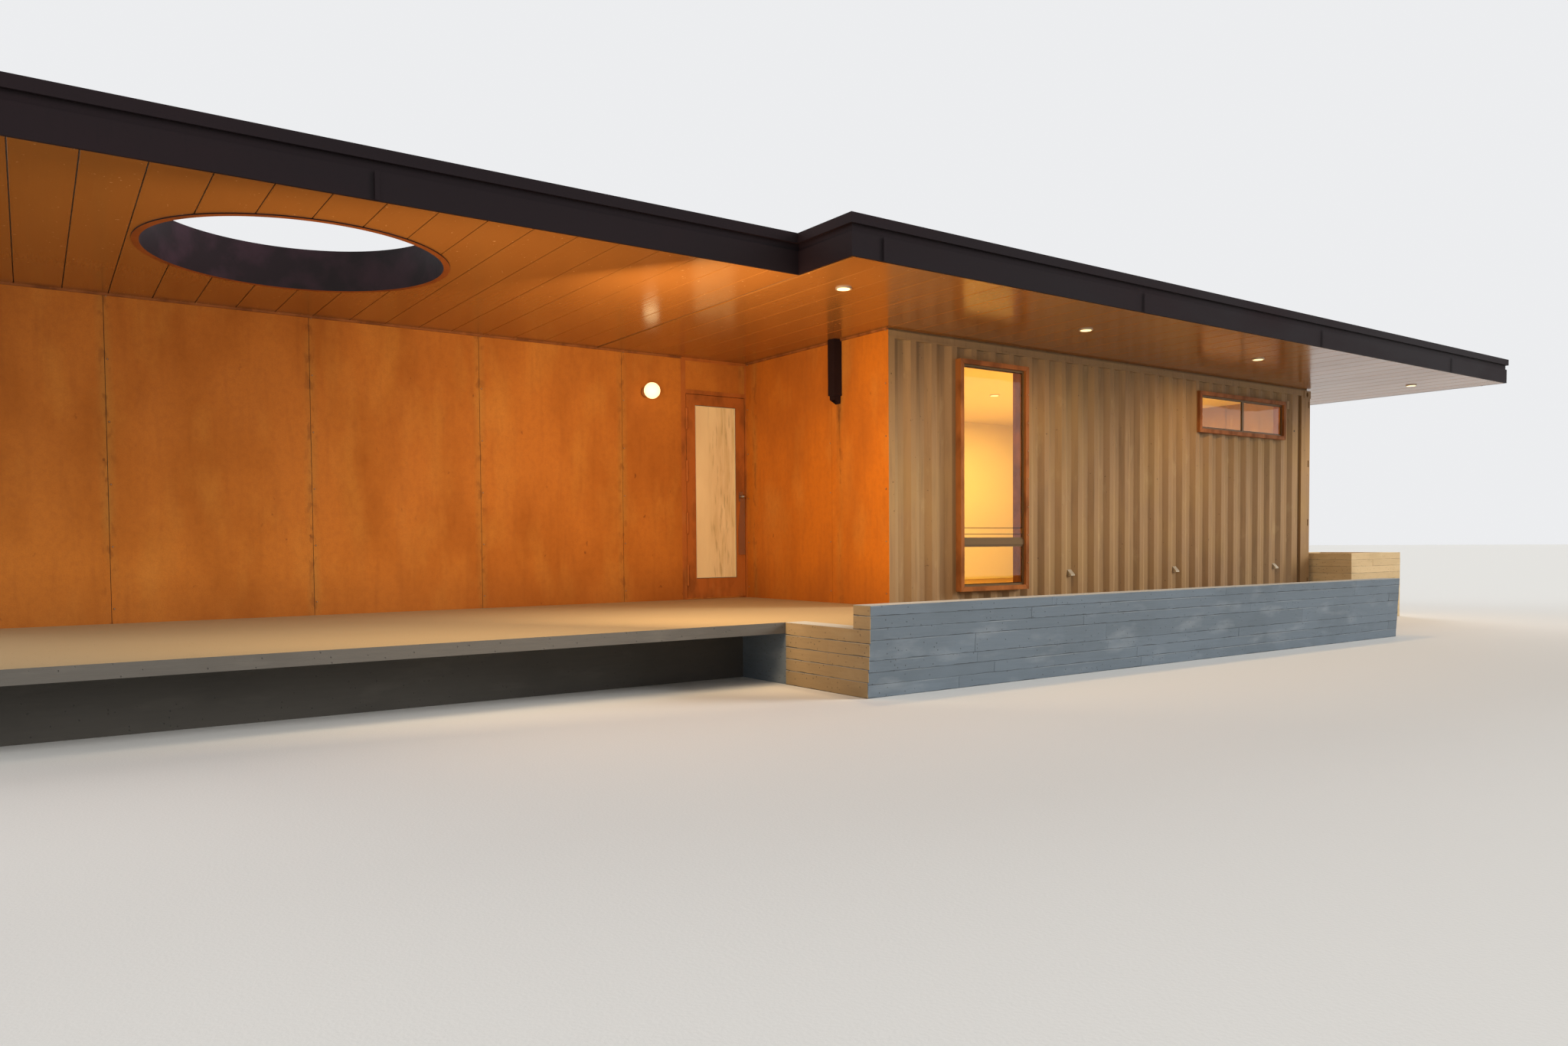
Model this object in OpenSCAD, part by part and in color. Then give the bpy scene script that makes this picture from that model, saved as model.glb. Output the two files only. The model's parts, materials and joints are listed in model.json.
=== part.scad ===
// Shipping container cabin: a long flat-roofed house made of steel containers,
// with a covered porch, a round roof opening and board-formed concrete walls.
// Plan frame: x from the left end of the front container, y from its front
// face towards the back, z from the porch floor. Everything is then moved so
// that the origin is under the middle of the roof, on the ground.

/* [Container] */
// Length of the front container
container_length = 7575; // [6000:25:9500]
// Width of one container
container_width = 2438; // [2200:1:2600]
// Drop from the porch floor to the underside of the containers
floor_drop = 256; // [200:2:300]
// Height of the soffit boards above the porch floor
soffit_height = 2640; // [2450:5:2800]
// Height of the shadow gap between the containers and the soffit boards
shadow_gap = 20; // [10:2:40]
// Depth of the shadow gap
shadow_depth = 30; // [20:1:40]
// Thickness of the container roof and its ceiling boards
ceiling_thickness = 80; // [60:5:120]
// Length of the wing behind the porch, left of the front container
wing_length = 7660; // [6500:10:9500]

/* [Corrugated walls] */
// Spacing of the corrugations
corrugation_pitch = 274; // [240:1:300]
// Depth of the corrugations
corrugation_depth = 36; // [20:1:45]
// Width of each flat of the corrugation
corrugation_flat = 69; // [50:1:90]
// Thickness of the steel skin
skin_thickness = 6; // [4:1:10]
// Thickness of the insulation and lining behind the skin
lining_thickness = 70; // [50:1:120]
// Height of the bottom side rails
bottom_rail_height = 160; // [120:1:200]
// Height of the top side rails
top_rail_height = 73; // [40:1:90]
// Depth of the side rails, front to back
rail_depth = 60; // [50:1:100]

/* [Corner posts] */
// Width of a corner post seen from the side
post_width = 216; // [150:1:260]
// Depth of a corner post seen from the end
post_depth = 150; // [120:1:200]
// Width of the groove beside a corner post
post_groove = 95; // [60:1:120]
// Plain strip at the cut end of a corrugated wall
end_strip_width = 77; // [40:1:200]
// Height of a corner casting
casting_height = 100; // [95:1:130]
// Length of a corner casting
casting_length = 162; // [150:1:200]
// How far a corner casting stands proud of its post
casting_proud = 6; // [3:1:10]
// Width of the slot in a corner casting
casting_slot_width = 46; // [40:1:55]
// Height of the slot in a corner casting
casting_slot_height = 66; // [60:1:80]
// Depth of the slot in a corner casting
casting_slot_depth = 30; // [20:1:40]
// Height of a hinge slot in a corner post
hinge_slot_height = 88; // [60:2:110]
// Width of a hinge slot in a corner post
hinge_slot_width = 24; // [16:1:30]
// Depth of a hinge slot in a corner post
hinge_slot_depth = 12; // [8:1:20]
// Height of the lowest hinge slot above the porch floor
hinge_slot_first = 45; // [20:5:100]
// Distance between two hinge slots
hinge_slot_spacing = 797; // [600:1:800]
// Number of hinge slots in a corner post
hinge_slot_count = 4; // [3:1:4]

/* [Cargo doors] */
// Thickness of the cargo doors at the container ends
cargo_door_thickness = 50; // [40:1:60]
// Width of the frame of a cargo door
cargo_frame = 75; // [60:1:100]
// Gap beside a cargo door
cargo_gap = 6; // [4:1:10]
// Number of pressed panels in a cargo door
cargo_panels = 4; // [2:2:6]
// Depth of a pressed panel
panel_depth = 26; // [15:1:30]
// Height of the slope at the edge of a pressed panel
panel_slope = 30; // [20:1:40]
// Height of the rib between two pressed panels
panel_rib = 38; // [30:2:60]
// Height of the sill under the cargo doors
sill_height = 80; // [60:5:120]
// Height of the header over the cargo doors
header_height = 110; // [90:5:140]
// Diameter of a lock rod of the cargo doors
rod_diameter = 34; // [28:1:42]
// Distance of the lock rods from the cargo doors
rod_standoff = 8; // [5:1:15]
// Distance of a lock rod from the edge of its door
rod_inset = 250; // [150:10:300]
// Height of a rod bracket
bracket_height = 30; // [20:2:36]
// Length of a lock handle
lock_handle_length = 420; // [300:10:450]
// Height of the lock handles above the porch floor
lock_handle_height = 880; // [700:10:1000]

/* [Porch wall] */
// Width of one weathered steel sheet
sheet_width = 1524; // [1200:1:1600]
// Distance of the first sheet joint left of the container end
first_seam = 1568; // [1300:1:2300]
// Thickness of a weathered steel sheet
sheet_thickness = 5; // [4:1:10]
// Gap between two sheets
sheet_gap = 4; // [3:1:10]
// Gap between the sheets and the soffit boards
sheet_top_gap = 12; // [6:1:20]
// Thickness of the framed walls behind the sheets
framed_wall = 95; // [80:1:150]

/* [Door] */
// Clear width of the door opening between the jambs
door_opening_width = 770; // [700:1:830]
// Clear height of the door opening
door_opening_height = 2252; // [2000:1:2300]
// Width of the left jamb
jamb_width = 60; // [40:1:90]
// Width of the jamb in the corner
corner_jamb_width = 25; // [20:1:60]
// Height of the door head
head_height = 45; // [40:1:90]
// Depth of the door frame, front to back
door_frame_depth = 110; // [90:1:140]
// Running gap around the door leaf
door_gap = 6; // [5:1:10]
// Gap between the door leaf and the jamb on the handle side
latch_gap = 8; // [8:1:12]
// Gap between the door leaf and the threshold
door_floor_gap = 12; // [8:1:20]
// Thickness of the door leaf
leaf_thickness = 45; // [38:1:55]
// Width of the stiles of the door leaf
stile_width = 112; // [90:1:130]
// Height of the bottom rail of the door leaf
leaf_bottom_rail = 215; // [150:1:260]
// Height of the top rail of the door leaf
leaf_top_rail = 112; // [90:1:140]
// Thickness of all glass panes
glass_thickness = 10; // [6:1:16]
// Diameter of a hinge barrel
hinge_diameter = 26; // [20:1:32]
// Height of a hinge barrel
hinge_height = 216; // [150:1:230]
// Gap between the two halves of a hinge
hinge_play = 1; // [1:0.5:3]
// Number of hinges
hinge_count = 4; // [3:1:4]
// Height of the door knob above the floor
handle_height = 1140; // [950:5:1200]
// Height of the plate behind the knob
rose_height = 110; // [90:2:140]
// Width of the plate behind the knob
rose_width = 50; // [40:2:70]
// Diameter of the knob
knob_diameter = 46; // [36:1:56]
// Distance of the knob from the door
knob_reach = 42; // [30:1:55]
// Length of the collar of the knob
knob_collar = 15; // [8:1:18]
// Length of the latch guard plate below the knob
guard_length = 600; // [400:10:700]
// Width of the latch guard plate at its foot
guard_width = 86; // [60:1:95]
// Thickness of the handle plates
plate_thickness = 5; // [3:1:8]
// Height of the bar over the transom panel
transom_bar_height = 30; // [20:1:45]
// How far the transom panel is set back
transom_setback = 12; // [6:1:25]
// Width of the bead around the transom panel
bead_width = 12; // [8:1:20]

/* [Tall window] */
// Left edge of the tall window frame
tall_window_left = 880; // [700:5:1400]
// Outer width of the tall window frame
tall_window_width = 992; // [800:2:1200]
// Bottom of the tall window frame above the floor
tall_window_sill = 113; // [100:1:250]
// Height of the transom bar above the floor
transom_height = 578; // [400:2:900]
// Height of the transom bar itself
transom_bar = 55; // [40:1:80]

/* [Wide window] */
// Distance of the wide window frame from the right end of the container
wide_window_end = 679; // [500:1:1200]
// Outer width of the wide window frame
wide_window_width = 1930; // [1400:10:2000]
// Outer height of the wide window frame
wide_window_height = 500; // [400:2:700]

/* [Window frames] */
// Face width of the steel window frames
frame_face = 46; // [35:1:60]
// How far the tall frame stands out of the wall
tall_projection = 75; // [60:1:130]
// How far the wide frame stands out of the wall
wide_projection = 43; // [35:1:130]
// How far the panes sit behind the front of the frame
pane_setback = 42; // [25:1:70]
// Distance of both window heads below the soffit boards
window_head_drop = 214; // [180:2:260]
// Face width of the sashes that hold the panes
sash_width = 20; // [12:1:30]
// Depth of the sashes, front to back
sash_depth = 26; // [18:1:40]
// How far the transom bar is set back
bar_setback = 20; // [4:1:22]

/* [Roof] */
// Front edge of the roof over the porch, in front of the container face
porch_roof_reach = 1120; // [900:10:1400]
// Front edge of the roof over the front container
cabin_roof_reach = 1760; // [1400:10:2000]
// Distance of the roof's step left of the container end
roof_step = 1875; // [1400:5:2400]
// Overhang past the right end
right_overhang = 1605; // [1550:5:1900]
// Overhang past the left end of the wing
left_overhang = 640; // [300:10:900]
// Overhang past the back wall
back_overhang = 450; // [200:10:700]
// Height of the lower fascia band
fascia_band = 175; // [140:1:200]
// Height of the set back band above it
fascia_upper_band = 55; // [40:1:80]
// Height of the roof edge cap
cap_height = 74; // [50:1:100]
// Thickness of the fascia
fascia_thickness = 20; // [15:1:30]
// How far the upper band is set back
band_setback = 12; // [8:1:14]
// How far the cap stands proud
cap_projection = 15; // [10:1:30]
// Width of the cap on the roof
cap_width = 120; // [80:1:200]
// Thickness of the soffit boards
soffit_thickness = 18; // [12:1:30]

/* [Roof opening] */
// Inner diameter of the round roof opening
opening_diameter = 1930; // [1500:10:2100]
// Centre of the round opening left of the container end
opening_centre_x = 5070; // [4600:10:5400]
// Centre of the round opening behind the container face
opening_centre_y = 452; // [300:2:700]
// Thickness of the rolled steel ring
ring_thickness = 12; // [8:1:20]
// Width of the trim under the soffit
ring_trim_width = 45; // [30:1:80]
// Thickness of the trim under the soffit
ring_trim_thickness = 8; // [5:1:15]

/* [Porch] */
// Height of the porch floor above the lowest ground
floor_above_ground = 480; // [460:5:700]
// Thickness of the porch slab
slab_thickness = 85; // [70:1:140]
// How far the slab runs out in front of the container face
slab_reach = 1005; // [900:5:1400]
// How far the foundation is set back under the slab edge
foundation_setback = 605; // [200:5:800]
// Thickness of the concrete walls
concrete_wall = 185; // [150:5:250]
// How far the foot of the low front wall is set back under its top
front_wall_batter = 35; // [0:5:90]
// Height of the low front wall above the porch floor
front_wall_rise = 170; // [80:5:300]
// Right end of the low front wall
front_wall_end = 5740; // [5000:10:7000]
// How far the low front wall stands in front of the roof edge
front_wall_reach = 253; // [0:1:400]
// How far the side wall stands out past the step of the roof
side_wall_reach = 60; // [0:5:200]
// Thickness of the floor slabs inside and in front
floor_thickness = 100; // [90:1:160]

/* [End planter] */
// Height of the planter above the porch floor
planter_rise = 420; // [200:5:600]
// Gap between the container end and the planter
planter_gap = 150; // [120:5:250]
// Length of the planter
planter_length = 1360; // [900:10:1380]
// Front of the planter in front of the container face
planter_reach = 500; // [300:10:800]
// Depth of the planter, front to back
planter_depth = 1200; // [700:10:1600]
// Thickness of the planter walls
planter_wall = 150; // [100:5:200]
// Height of the strip footing that ties the planter to the house
planter_footing = 150; // [100:10:200]
// Depth of the bed below the rim
planter_bed_depth = 380; // [200:5:500]

/* [Lights] */
// Diameter of the globe of the wall light
globe_diameter = 170; // [120:5:220]
// Depth of the flat seat of the globe
globe_seat = 6; // [3:1:10]
// Diameter of the back plate of the wall light
back_plate_diameter = 110; // [90:5:140]
// Thickness of the back plate of the wall light
back_plate_thickness = 25; // [15:1:35]
// Diameter of the neck of the wall light
neck_diameter = 62; // [50:2:80]
// Length of the neck of the wall light
neck_length = 45; // [30:1:80]
// Distance of the wall light below the soffit boards
wall_light_drop = 415; // [300:5:600]
// Distance of the wall light left of the container end
wall_light_x = 1287; // [1150:5:1400]
// Outer diameter of a downlight
downlight_diameter = 130; // [90:5:180]
// Width of the trim ring of a downlight
downlight_ring = 15; // [10:1:25]
// Thickness of the trim ring of a downlight
downlight_thickness = 10; // [6:1:15]
// Distance of the downlights in front of the container face
downlight_reach = 975; // [700:5:1100]
// Distance of the first downlight left of the container end
downlight_first = 1323; // [1000:1:1500]
// Distance between two downlights in front of the container
downlight_spacing = 2980; // [2000:10:3200]
// Distance of the last downlight from the right end of the roof
downlight_end = 890; // [600:10:1200]
// Place of the ceiling light of the front room, from the left end
room_light_x = 3850; // [2000:10:5500]
// Place of the ceiling light of the front room, from the front face
room_light_y = 2280; // [1500:10:2400]
// Length of a path light, top to bottom
path_light_length = 72; // [60:2:120]
// Width of a path light
path_light_width = 66; // [50:1:66]
// How far a path light reaches out of the wall
path_light_reach = 52; // [40:1:80]
// Thickness of the front lip of a path light
path_light_lip = 12; // [6:1:20]
// Wall thickness of a path light
path_light_wall = 4; // [2:0.5:6]
// Height of the path lights above the porch floor
path_light_height = 262; // [180:2:400]
// Number of corrugations between the tall window and the first path light
path_light_skip = 3; // [1:1:6]

/* [Downspout] */
// Width of the square downspout
spout_width = 100; // [80:1:130]
// Length of the downspout
spout_length = 560; // [300:5:900]
// Wall thickness of the downspout
spout_wall = 4; // [2:0.5:6]
// Height of the outlet under the downspout
outlet_height = 80; // [50:2:120]
// Step of the outlet inside the downspout
outlet_step = 12; // [8:1:20]
// Place of the downspout along the end wall, from the front corner
spout_y = 700; // [500:5:1400]

/* [Hidden] */
$fn = 64;
touch = 1;
container_base = -floor_drop;
ground = -floor_above_ground;
wing_front = container_width;
wing_back = 2 * container_width;
wing_left = -wing_length;
roof_left = wing_left - left_overhang;
roof_right = container_length + right_overhang;
roof_back = wing_back + back_overhang;
porch_front = -porch_roof_reach;
cabin_front = -cabin_roof_reach;
roof_jog = -roof_step;
roof_z = soffit_height;
deck_top = roof_z + fascia_band + fascia_upper_band;
roof_top = deck_top + cap_height;
centre_x = (roof_left + roof_right) / 2;
centre_y = (cabin_front - front_wall_reach + roof_back) / 2;

post_left = container_length - post_width;
groove_left = post_left - post_groove;
door_plane = container_length - cargo_door_thickness;
panel_bottom = container_base + bottom_rail_height;
container_top = soffit_height - shadow_gap;
sheet_top = soffit_height - sheet_top_gap;
panel_top = container_top - top_rail_height;
header_bottom = container_top - header_height;
casting_levels = [container_base, container_top - casting_height];
cargo_bottom = container_base + sill_height;
cargo_height = header_bottom - cargo_bottom;
cargo_leaf = (container_width - 2 * post_depth - 3 * cargo_gap) / 2;
ceiling_height = soffit_height - ceiling_thickness;
corrugation_slope = (corrugation_pitch - 2 * corrugation_flat) / 2;

frame_right = -corner_jamb_width;
frame_left = frame_right - door_opening_width;
door_frame_left = frame_left - jamb_width;
door_head_bottom = door_opening_height;
door_head_top = door_head_bottom + head_height;
transom_top = soffit_height - transom_bar_height;
leaf_left = frame_left + door_gap;
leaf_right = frame_right - latch_gap;
leaf_bottom = door_floor_gap;
leaf_top = door_head_bottom - door_gap;
leaf_front = wing_front;
leaf_back = leaf_front + leaf_thickness;
hinge_x = frame_left + door_gap / 2;
hinge_y = leaf_front - hinge_diameter / 2;
hinge_first = 160;
hinge_spacing = (leaf_top - 2 * hinge_first - hinge_height) / (hinge_count - 1);
frame_stop = 15;
threshold_height = door_floor_gap / 2;

wall_light_height = soffit_height - wall_light_drop;
window_head = soffit_height - window_head_drop;
tall_window_height = window_head - tall_window_sill;
wide_window_left = container_length - wide_window_end - wide_window_width;
tall_pane = pane_setback - tall_projection;
wide_pane = pane_setback - wide_projection;
frame_back = corrugation_depth + skin_thickness + lining_thickness;
slab_front = -slab_reach;
side_wall_left = roof_jog - side_wall_reach;
side_wall_right = side_wall_left + concrete_wall;
front_wall_front = cabin_front - front_wall_reach;
front_wall_back = front_wall_front + concrete_wall;
foundation_front = slab_front + foundation_setback;
planter_left = container_length + planter_gap;
downlights_before = 3;

steel_bronze = "#6b5a49";
steel_fascia = "#43302e";
weathered = "#a8592a";
concrete = "#b4aea2";
boards = "#d9c6a8";
frame_rust = "#5e3a2a";
glass = "#9fb0b5";

// Moves a piece from the plan frame to the ground frame.
module at_site() { translate([-centre_x, -centre_y, floor_above_ground]) children(); }

// A box between two opposite corners.
module block(low, high) { translate(low) cube(high - low); }

// Roof edge, moved inwards by d: six corners, from the porch's left front corner.
function roof_outline(d) = [
    [roof_left + d, porch_front + d], [roof_jog + d, porch_front + d],
    [roof_jog + d, cabin_front + d], [roof_right - d, cabin_front + d],
    [roof_right - d, roof_back - d], [roof_left + d, roof_back - d]];

// Plan of a mitred strip along side i of the roof, between two inward offsets.
function edge_strip(i, d0, d1) = [
    roof_outline(d0)[i], roof_outline(d0)[(i + 1) % 6],
    roof_outline(d1)[(i + 1) % 6], roof_outline(d1)[i]];

// Number of whole corrugations past the plain strip.
function corrugations(length) =
    floor((length - end_strip_width - skin_thickness) / corrugation_pitch);

// Plan of a corrugated skin along x: plain strip, corrugations, plain strip.
function corrugated_line(length) = concat(
    [[0, 0], [end_strip_width, 0]],
    [for (k = [0:corrugations(length) - 1]) let (x = end_strip_width + k * corrugation_pitch)
        each [[x + corrugation_slope, corrugation_depth],
            [x + corrugation_slope + corrugation_flat, corrugation_depth],
            [x + 2 * corrugation_slope + corrugation_flat, 0],
            [x + corrugation_pitch, 0]]],
    [[length, 0]]);

module corrugated_skin(length, height) {
    line = corrugated_line(length);
    n = len(line);
    behind = [for (i = [n - 1:-1:0]) line[i] + [0, skin_thickness]];
    linear_extrude(height) polygon(concat(line, behind));
}

// Concrete
module porch_slab() {
    color(concrete) at_site() translate([0, 0, -slab_thickness]) linear_extrude(slab_thickness)
        polygon([[wing_left, slab_front], [side_wall_right, slab_front],
            [side_wall_right, front_wall_back], [front_wall_end, front_wall_back], [front_wall_end, 0],
            [0, 0], [0, wing_front], [wing_left, wing_front]]);
}

module terrace_walls() {
    // Side wall, under the end of the porch slab
    color(concrete) at_site() translate([side_wall_right, 0, 0]) rotate([90, 0, -90])
        linear_extrude(concrete_wall)
        polygon([[-front_wall_back, ground], [-front_wall_back, 0], [-slab_front, 0],
            [-slab_front, -slab_thickness], [-foundation_front - concrete_wall, -slab_thickness],
            [-foundation_front - concrete_wall, ground]]);
    // Front wall, its foot set back under its top
    color(concrete) at_site() translate([front_wall_end, 0, 0]) rotate([90, 0, -90])
        linear_extrude(front_wall_end - side_wall_left)
        polygon([[-front_wall_back, ground], [-front_wall_front - front_wall_batter, ground],
            [-front_wall_front, front_wall_rise], [-front_wall_back, front_wall_rise]]);
    color(concrete) at_site() block([front_wall_end - concrete_wall, front_wall_back, ground],
        [front_wall_end, 0, -slab_thickness]);
}

module end_planter() {
    color(concrete) at_site() difference() {
        block([planter_left, -planter_reach, ground],
            [planter_left + planter_length, planter_depth - planter_reach, planter_rise]);
        block([planter_left + planter_wall, planter_wall - planter_reach, planter_rise - planter_bed_depth],
            [planter_left + planter_length - planter_wall, planter_depth - planter_reach - planter_wall,
                planter_rise + touch]);
    }
    color(concrete) at_site() block([container_length, concrete_wall, ground],
        [planter_left, planter_depth - planter_reach, ground + planter_footing]);
}

module foundations() {
    porch_left = wing_left + foundation_setback;
    wall_top = -floor_thickness;
    color(concrete) at_site() {
        // Under the containers
        block([0, 0, ground], [container_length, concrete_wall, container_base]);
        block([wing_left, wing_back - concrete_wall, ground], [container_length, wing_back, container_base]);
        block([container_length - concrete_wall, concrete_wall, ground],
            [container_length, wing_back - concrete_wall, container_base]);
        block([wing_left, wing_front, ground], [0, wing_front + concrete_wall, wall_top]);
        block([wing_left, wing_front + concrete_wall, ground],
            [wing_left + concrete_wall, wing_back - concrete_wall, wall_top]);
        // Under the porch slab
        block([porch_left, foundation_front, ground],
            [side_wall_left, foundation_front + concrete_wall, -slab_thickness]);
        block([porch_left, foundation_front + concrete_wall, ground],
            [porch_left + concrete_wall, wing_front, -slab_thickness]);
    }
}

// Plan of a floor or ceiling of the rooms, notched round the posts at the right end.
function room_plan(front, back, wing_end, wing_side, cabin_side) = [
    [cabin_side, front], [post_left, front], [post_left, post_depth], [door_plane, post_depth],
    [door_plane, wing_front - post_depth], [post_left, wing_front - post_depth],
    [post_left, wing_front + post_depth], [door_plane, wing_front + post_depth],
    [door_plane, wing_back - post_depth], [post_left, wing_back - post_depth], [post_left, back],
    [wing_end, back], [wing_end, wing_side], [cabin_side, wing_side]];

module house_floor() {
    color(boards) at_site() translate([0, 0, -floor_thickness]) linear_extrude(floor_thickness)
        polygon(room_plan(rail_depth, wing_back - rail_depth, wing_left, wing_front, 0));
}

module ceiling() {
    color("white") at_site() translate([0, 0, ceiling_height]) linear_extrude(ceiling_thickness)
        polygon(room_plan(frame_back, wing_back - frame_back, wing_left + framed_wall,
            wing_front + door_frame_depth, framed_wall));
}

// Corrugated steel walls
module window_holes(y0, y1) {
    block([tall_window_left, y0, tall_window_sill], [tall_window_left + tall_window_width, y1, window_head]);
    block([wide_window_left, y0, window_head - wide_window_height],
        [wide_window_left + wide_window_width, y1, window_head]);
}

module front_wall() {
    color(steel_bronze) at_site() difference() {
        translate([0, 0, panel_bottom])
            corrugated_skin(groove_left, panel_top - panel_bottom);
        window_holes(-touch, frame_back);
    }
}

module back_wall() {
    color(steel_bronze) at_site() translate([groove_left, wing_back, panel_bottom])
        rotate(180) corrugated_skin(groove_left - wing_left, panel_top - panel_bottom);
}

module wall_linings() {
    color("gainsboro") at_site() {
        difference() {
            block([framed_wall, corrugation_depth + skin_thickness, 0], [post_left, frame_back, soffit_height]);
            window_holes(0, frame_back + touch);
        }
        block([wing_left + framed_wall, wing_back - frame_back, 0],
            [post_left, wing_back - corrugation_depth - skin_thickness, soffit_height]);
    }
}

// Top and bottom rails along one long side, seen from its outer face at y = 0.
module side_rails(x0, x1) {
    skin = corrugation_depth + skin_thickness;
    block([x0, 0, container_base], [x1, rail_depth, panel_bottom]);
    translate([x0, 0, 0]) rotate([90, 0, 90]) linear_extrude(x1 - x0)
        polygon([[0, panel_top], [skin, panel_top], [skin, soffit_height], [shadow_depth, soffit_height],
            [shadow_depth, container_top], [0, container_top]]);
}

module container_rails() {
    color(steel_bronze) at_site() {
        side_rails(0, post_left);
        translate([0, wing_back, 0]) mirror([0, 1, 0]) side_rails(wing_left, post_left);
        // Sill and header of the cargo doors of each container
        for (y = [[post_depth, wing_front - post_depth], [wing_front + post_depth, wing_back - post_depth]]) {
            block([door_plane, y[0], container_base], [container_length, y[1], cargo_bottom]);
            block([door_plane, y[0], header_bottom], [container_length, y[1], container_top]);
            block([door_plane, y[0], container_top], [container_length - shadow_depth, y[1], soffit_height]);
        }
    }
}

// Upright slot with round ends, cut along y from y = 0.
module casting_slot() {
    straight = (casting_slot_height - casting_slot_width) / 2;
    rotate([-90, 0, 0]) {
        for (z = [-straight, straight])
            translate([0, z, 0]) cylinder(d = casting_slot_width, h = casting_slot_depth);
        block([-casting_slot_width / 2, -straight, 0], [casting_slot_width / 2, straight, casting_slot_depth]);
    }
}

// Corner post with its castings, and the groove beside it, at the front right corner.
module corner_post() {
    difference() {
        union() {
            block([-post_width, 0, container_base], [0, post_depth, container_top]);
            block([-post_width, shadow_depth, container_top], [-shadow_depth, post_depth, soffit_height]);
            for (z = casting_levels)
                block([-casting_length, -casting_proud, z], [casting_proud, post_depth, z + casting_height]);
        }
        for (z = casting_levels) {
            translate([-casting_length / 2, -casting_proud, z + casting_height / 2]) casting_slot();
            translate([casting_proud, post_depth / 2, z + casting_height / 2]) rotate(90) casting_slot();
        }
        for (k = [0:hinge_slot_count - 1])
            translate([-2 * hinge_slot_width, -touch, hinge_slot_first + k * hinge_slot_spacing])
                block([0, 0, -hinge_slot_height / 2],
                    [hinge_slot_width, hinge_slot_depth + touch, hinge_slot_height / 2]);
    }
    skin = corrugation_depth + skin_thickness;
    translate([-post_width - post_groove, 0, panel_bottom]) {
        block([0, corrugation_depth, 0], [post_groove, skin, panel_top - panel_bottom]);
        block([0, 0, 0], [skin_thickness, skin, panel_top - panel_bottom]);
    }
}

module corner_posts() {
    color(steel_bronze) at_site() {
        translate([container_length, 0, 0]) corner_post();
        translate([container_length, wing_back, 0]) mirror([0, 1, 0]) corner_post();
        // The two middle posts, side by side
        translate([container_length, wing_front, 0]) difference() {
            union() {
                block([-post_width, -post_depth, container_base], [0, post_depth, container_top]);
                block([-post_width, -post_depth, container_top], [-shadow_depth, post_depth, soffit_height]);
                for (z = casting_levels)
                    block([-casting_length, -post_depth, z], [casting_proud, post_depth, z + casting_height]);
            }
            for (z = casting_levels, y = [-post_depth / 2, post_depth / 2])
                translate([casting_proud, y, z + casting_height / 2]) rotate(90) casting_slot();
        }
    }
}

// Pressed face of a cargo door: depth across x, height along y.
module pressed_profile(height) {
    pitch = (height - 2 * cargo_frame) / cargo_panels;
    crest = panel_rib / 2;
    polygon(concat([[-cargo_door_thickness, 0], [0, 0]],
        [for (k = [0:cargo_panels - 1]) let (z = cargo_frame + k * pitch)
            each [[0, z + crest], [-panel_depth, z + crest + panel_slope],
                [-panel_depth, z + pitch - crest - panel_slope], [0, z + pitch - crest]]],
        [[0, height], [-cargo_door_thickness, height]]));
}

// Puts a piece at the lower front corner of each cargo door, two to a container.
module at_cargo_doors() {
    for (side = [0, 1], k = [0, 1])
        translate([container_length, side * container_width + post_depth + cargo_gap, cargo_bottom])
            translate([0, k * (cargo_leaf + cargo_gap), 0]) children();
}

module cargo_doors() {
    color(steel_bronze) at_site() at_cargo_doors() {
        translate([0, cargo_leaf - cargo_frame, 0]) rotate([90, 0, 0])
            linear_extrude(cargo_leaf - 2 * cargo_frame) pressed_profile(cargo_height);
        for (y = [0, cargo_leaf - cargo_frame])
            block([-cargo_door_thickness, y, 0], [0, y + cargo_frame, cargo_height]);
    }
}

// Lock rod with its cams, brackets and handle, on the face at x = 0; the handle points along side.
module lock_rod(side) {
    reach = rod_standoff + rod_diameter;
    translate([rod_standoff + rod_diameter / 2, 0, -sill_height / 2])
        cylinder(d = rod_diameter, h = cargo_height + (sill_height + header_height) / 2);
    for (z = [-sill_height / 2, cargo_frame / 2, cargo_height / 2, cargo_height - cargo_frame / 2,
        cargo_height + header_height / 2])
        block([0, -rod_diameter, z - bracket_height / 2], [reach, rod_diameter, z + bracket_height / 2]);
    z = lock_handle_height - cargo_bottom;
    block([rod_standoff, side < 0 ? -lock_handle_length : 0, z],
        [reach, side < 0 ? 0 : lock_handle_length, z + rod_diameter / 2]);
}

module lock_rods() {
    color(steel_bronze) at_site() at_cargo_doors() {
        translate([0, rod_inset, 0]) lock_rod(1);
        translate([0, cargo_leaf - rod_inset, 0]) lock_rod(-1);
    }
}

// Framed walls with weathered steel sheets
module cabin_end_wall() {
    color("gainsboro") at_site() block([0, corrugation_depth + skin_thickness, 0],
        [framed_wall, wing_front + framed_wall, soffit_height]);
}

module cabin_end_sheets() {
    seam = wing_front - first_seam;
    color(weathered) at_site() for (y = [[0, seam - sheet_gap / 2], [seam + sheet_gap / 2, wing_front]])
        block([-sheet_thickness, y[0], 0], [0, y[1], sheet_top]);
}

module porch_wall() {
    color("gainsboro") at_site() block([wing_left, wing_front + sheet_thickness, 0],
        [door_frame_left, wing_front + sheet_thickness + framed_wall, soffit_height]);
}

module porch_sheets() {
    color(weathered) at_site() for (k = [0:ceil((wing_length - first_seam) / sheet_width)]) {
        right = k == 0 ? door_frame_left : -first_seam - (k - 1) * sheet_width;
        left = -first_seam - k * sheet_width + sheet_gap;
        if (right - wing_left > 2 * sheet_gap)
            block([max(left, wing_left), wing_front, 0], [right, wing_front + sheet_thickness, sheet_top]);
    }
}

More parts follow.
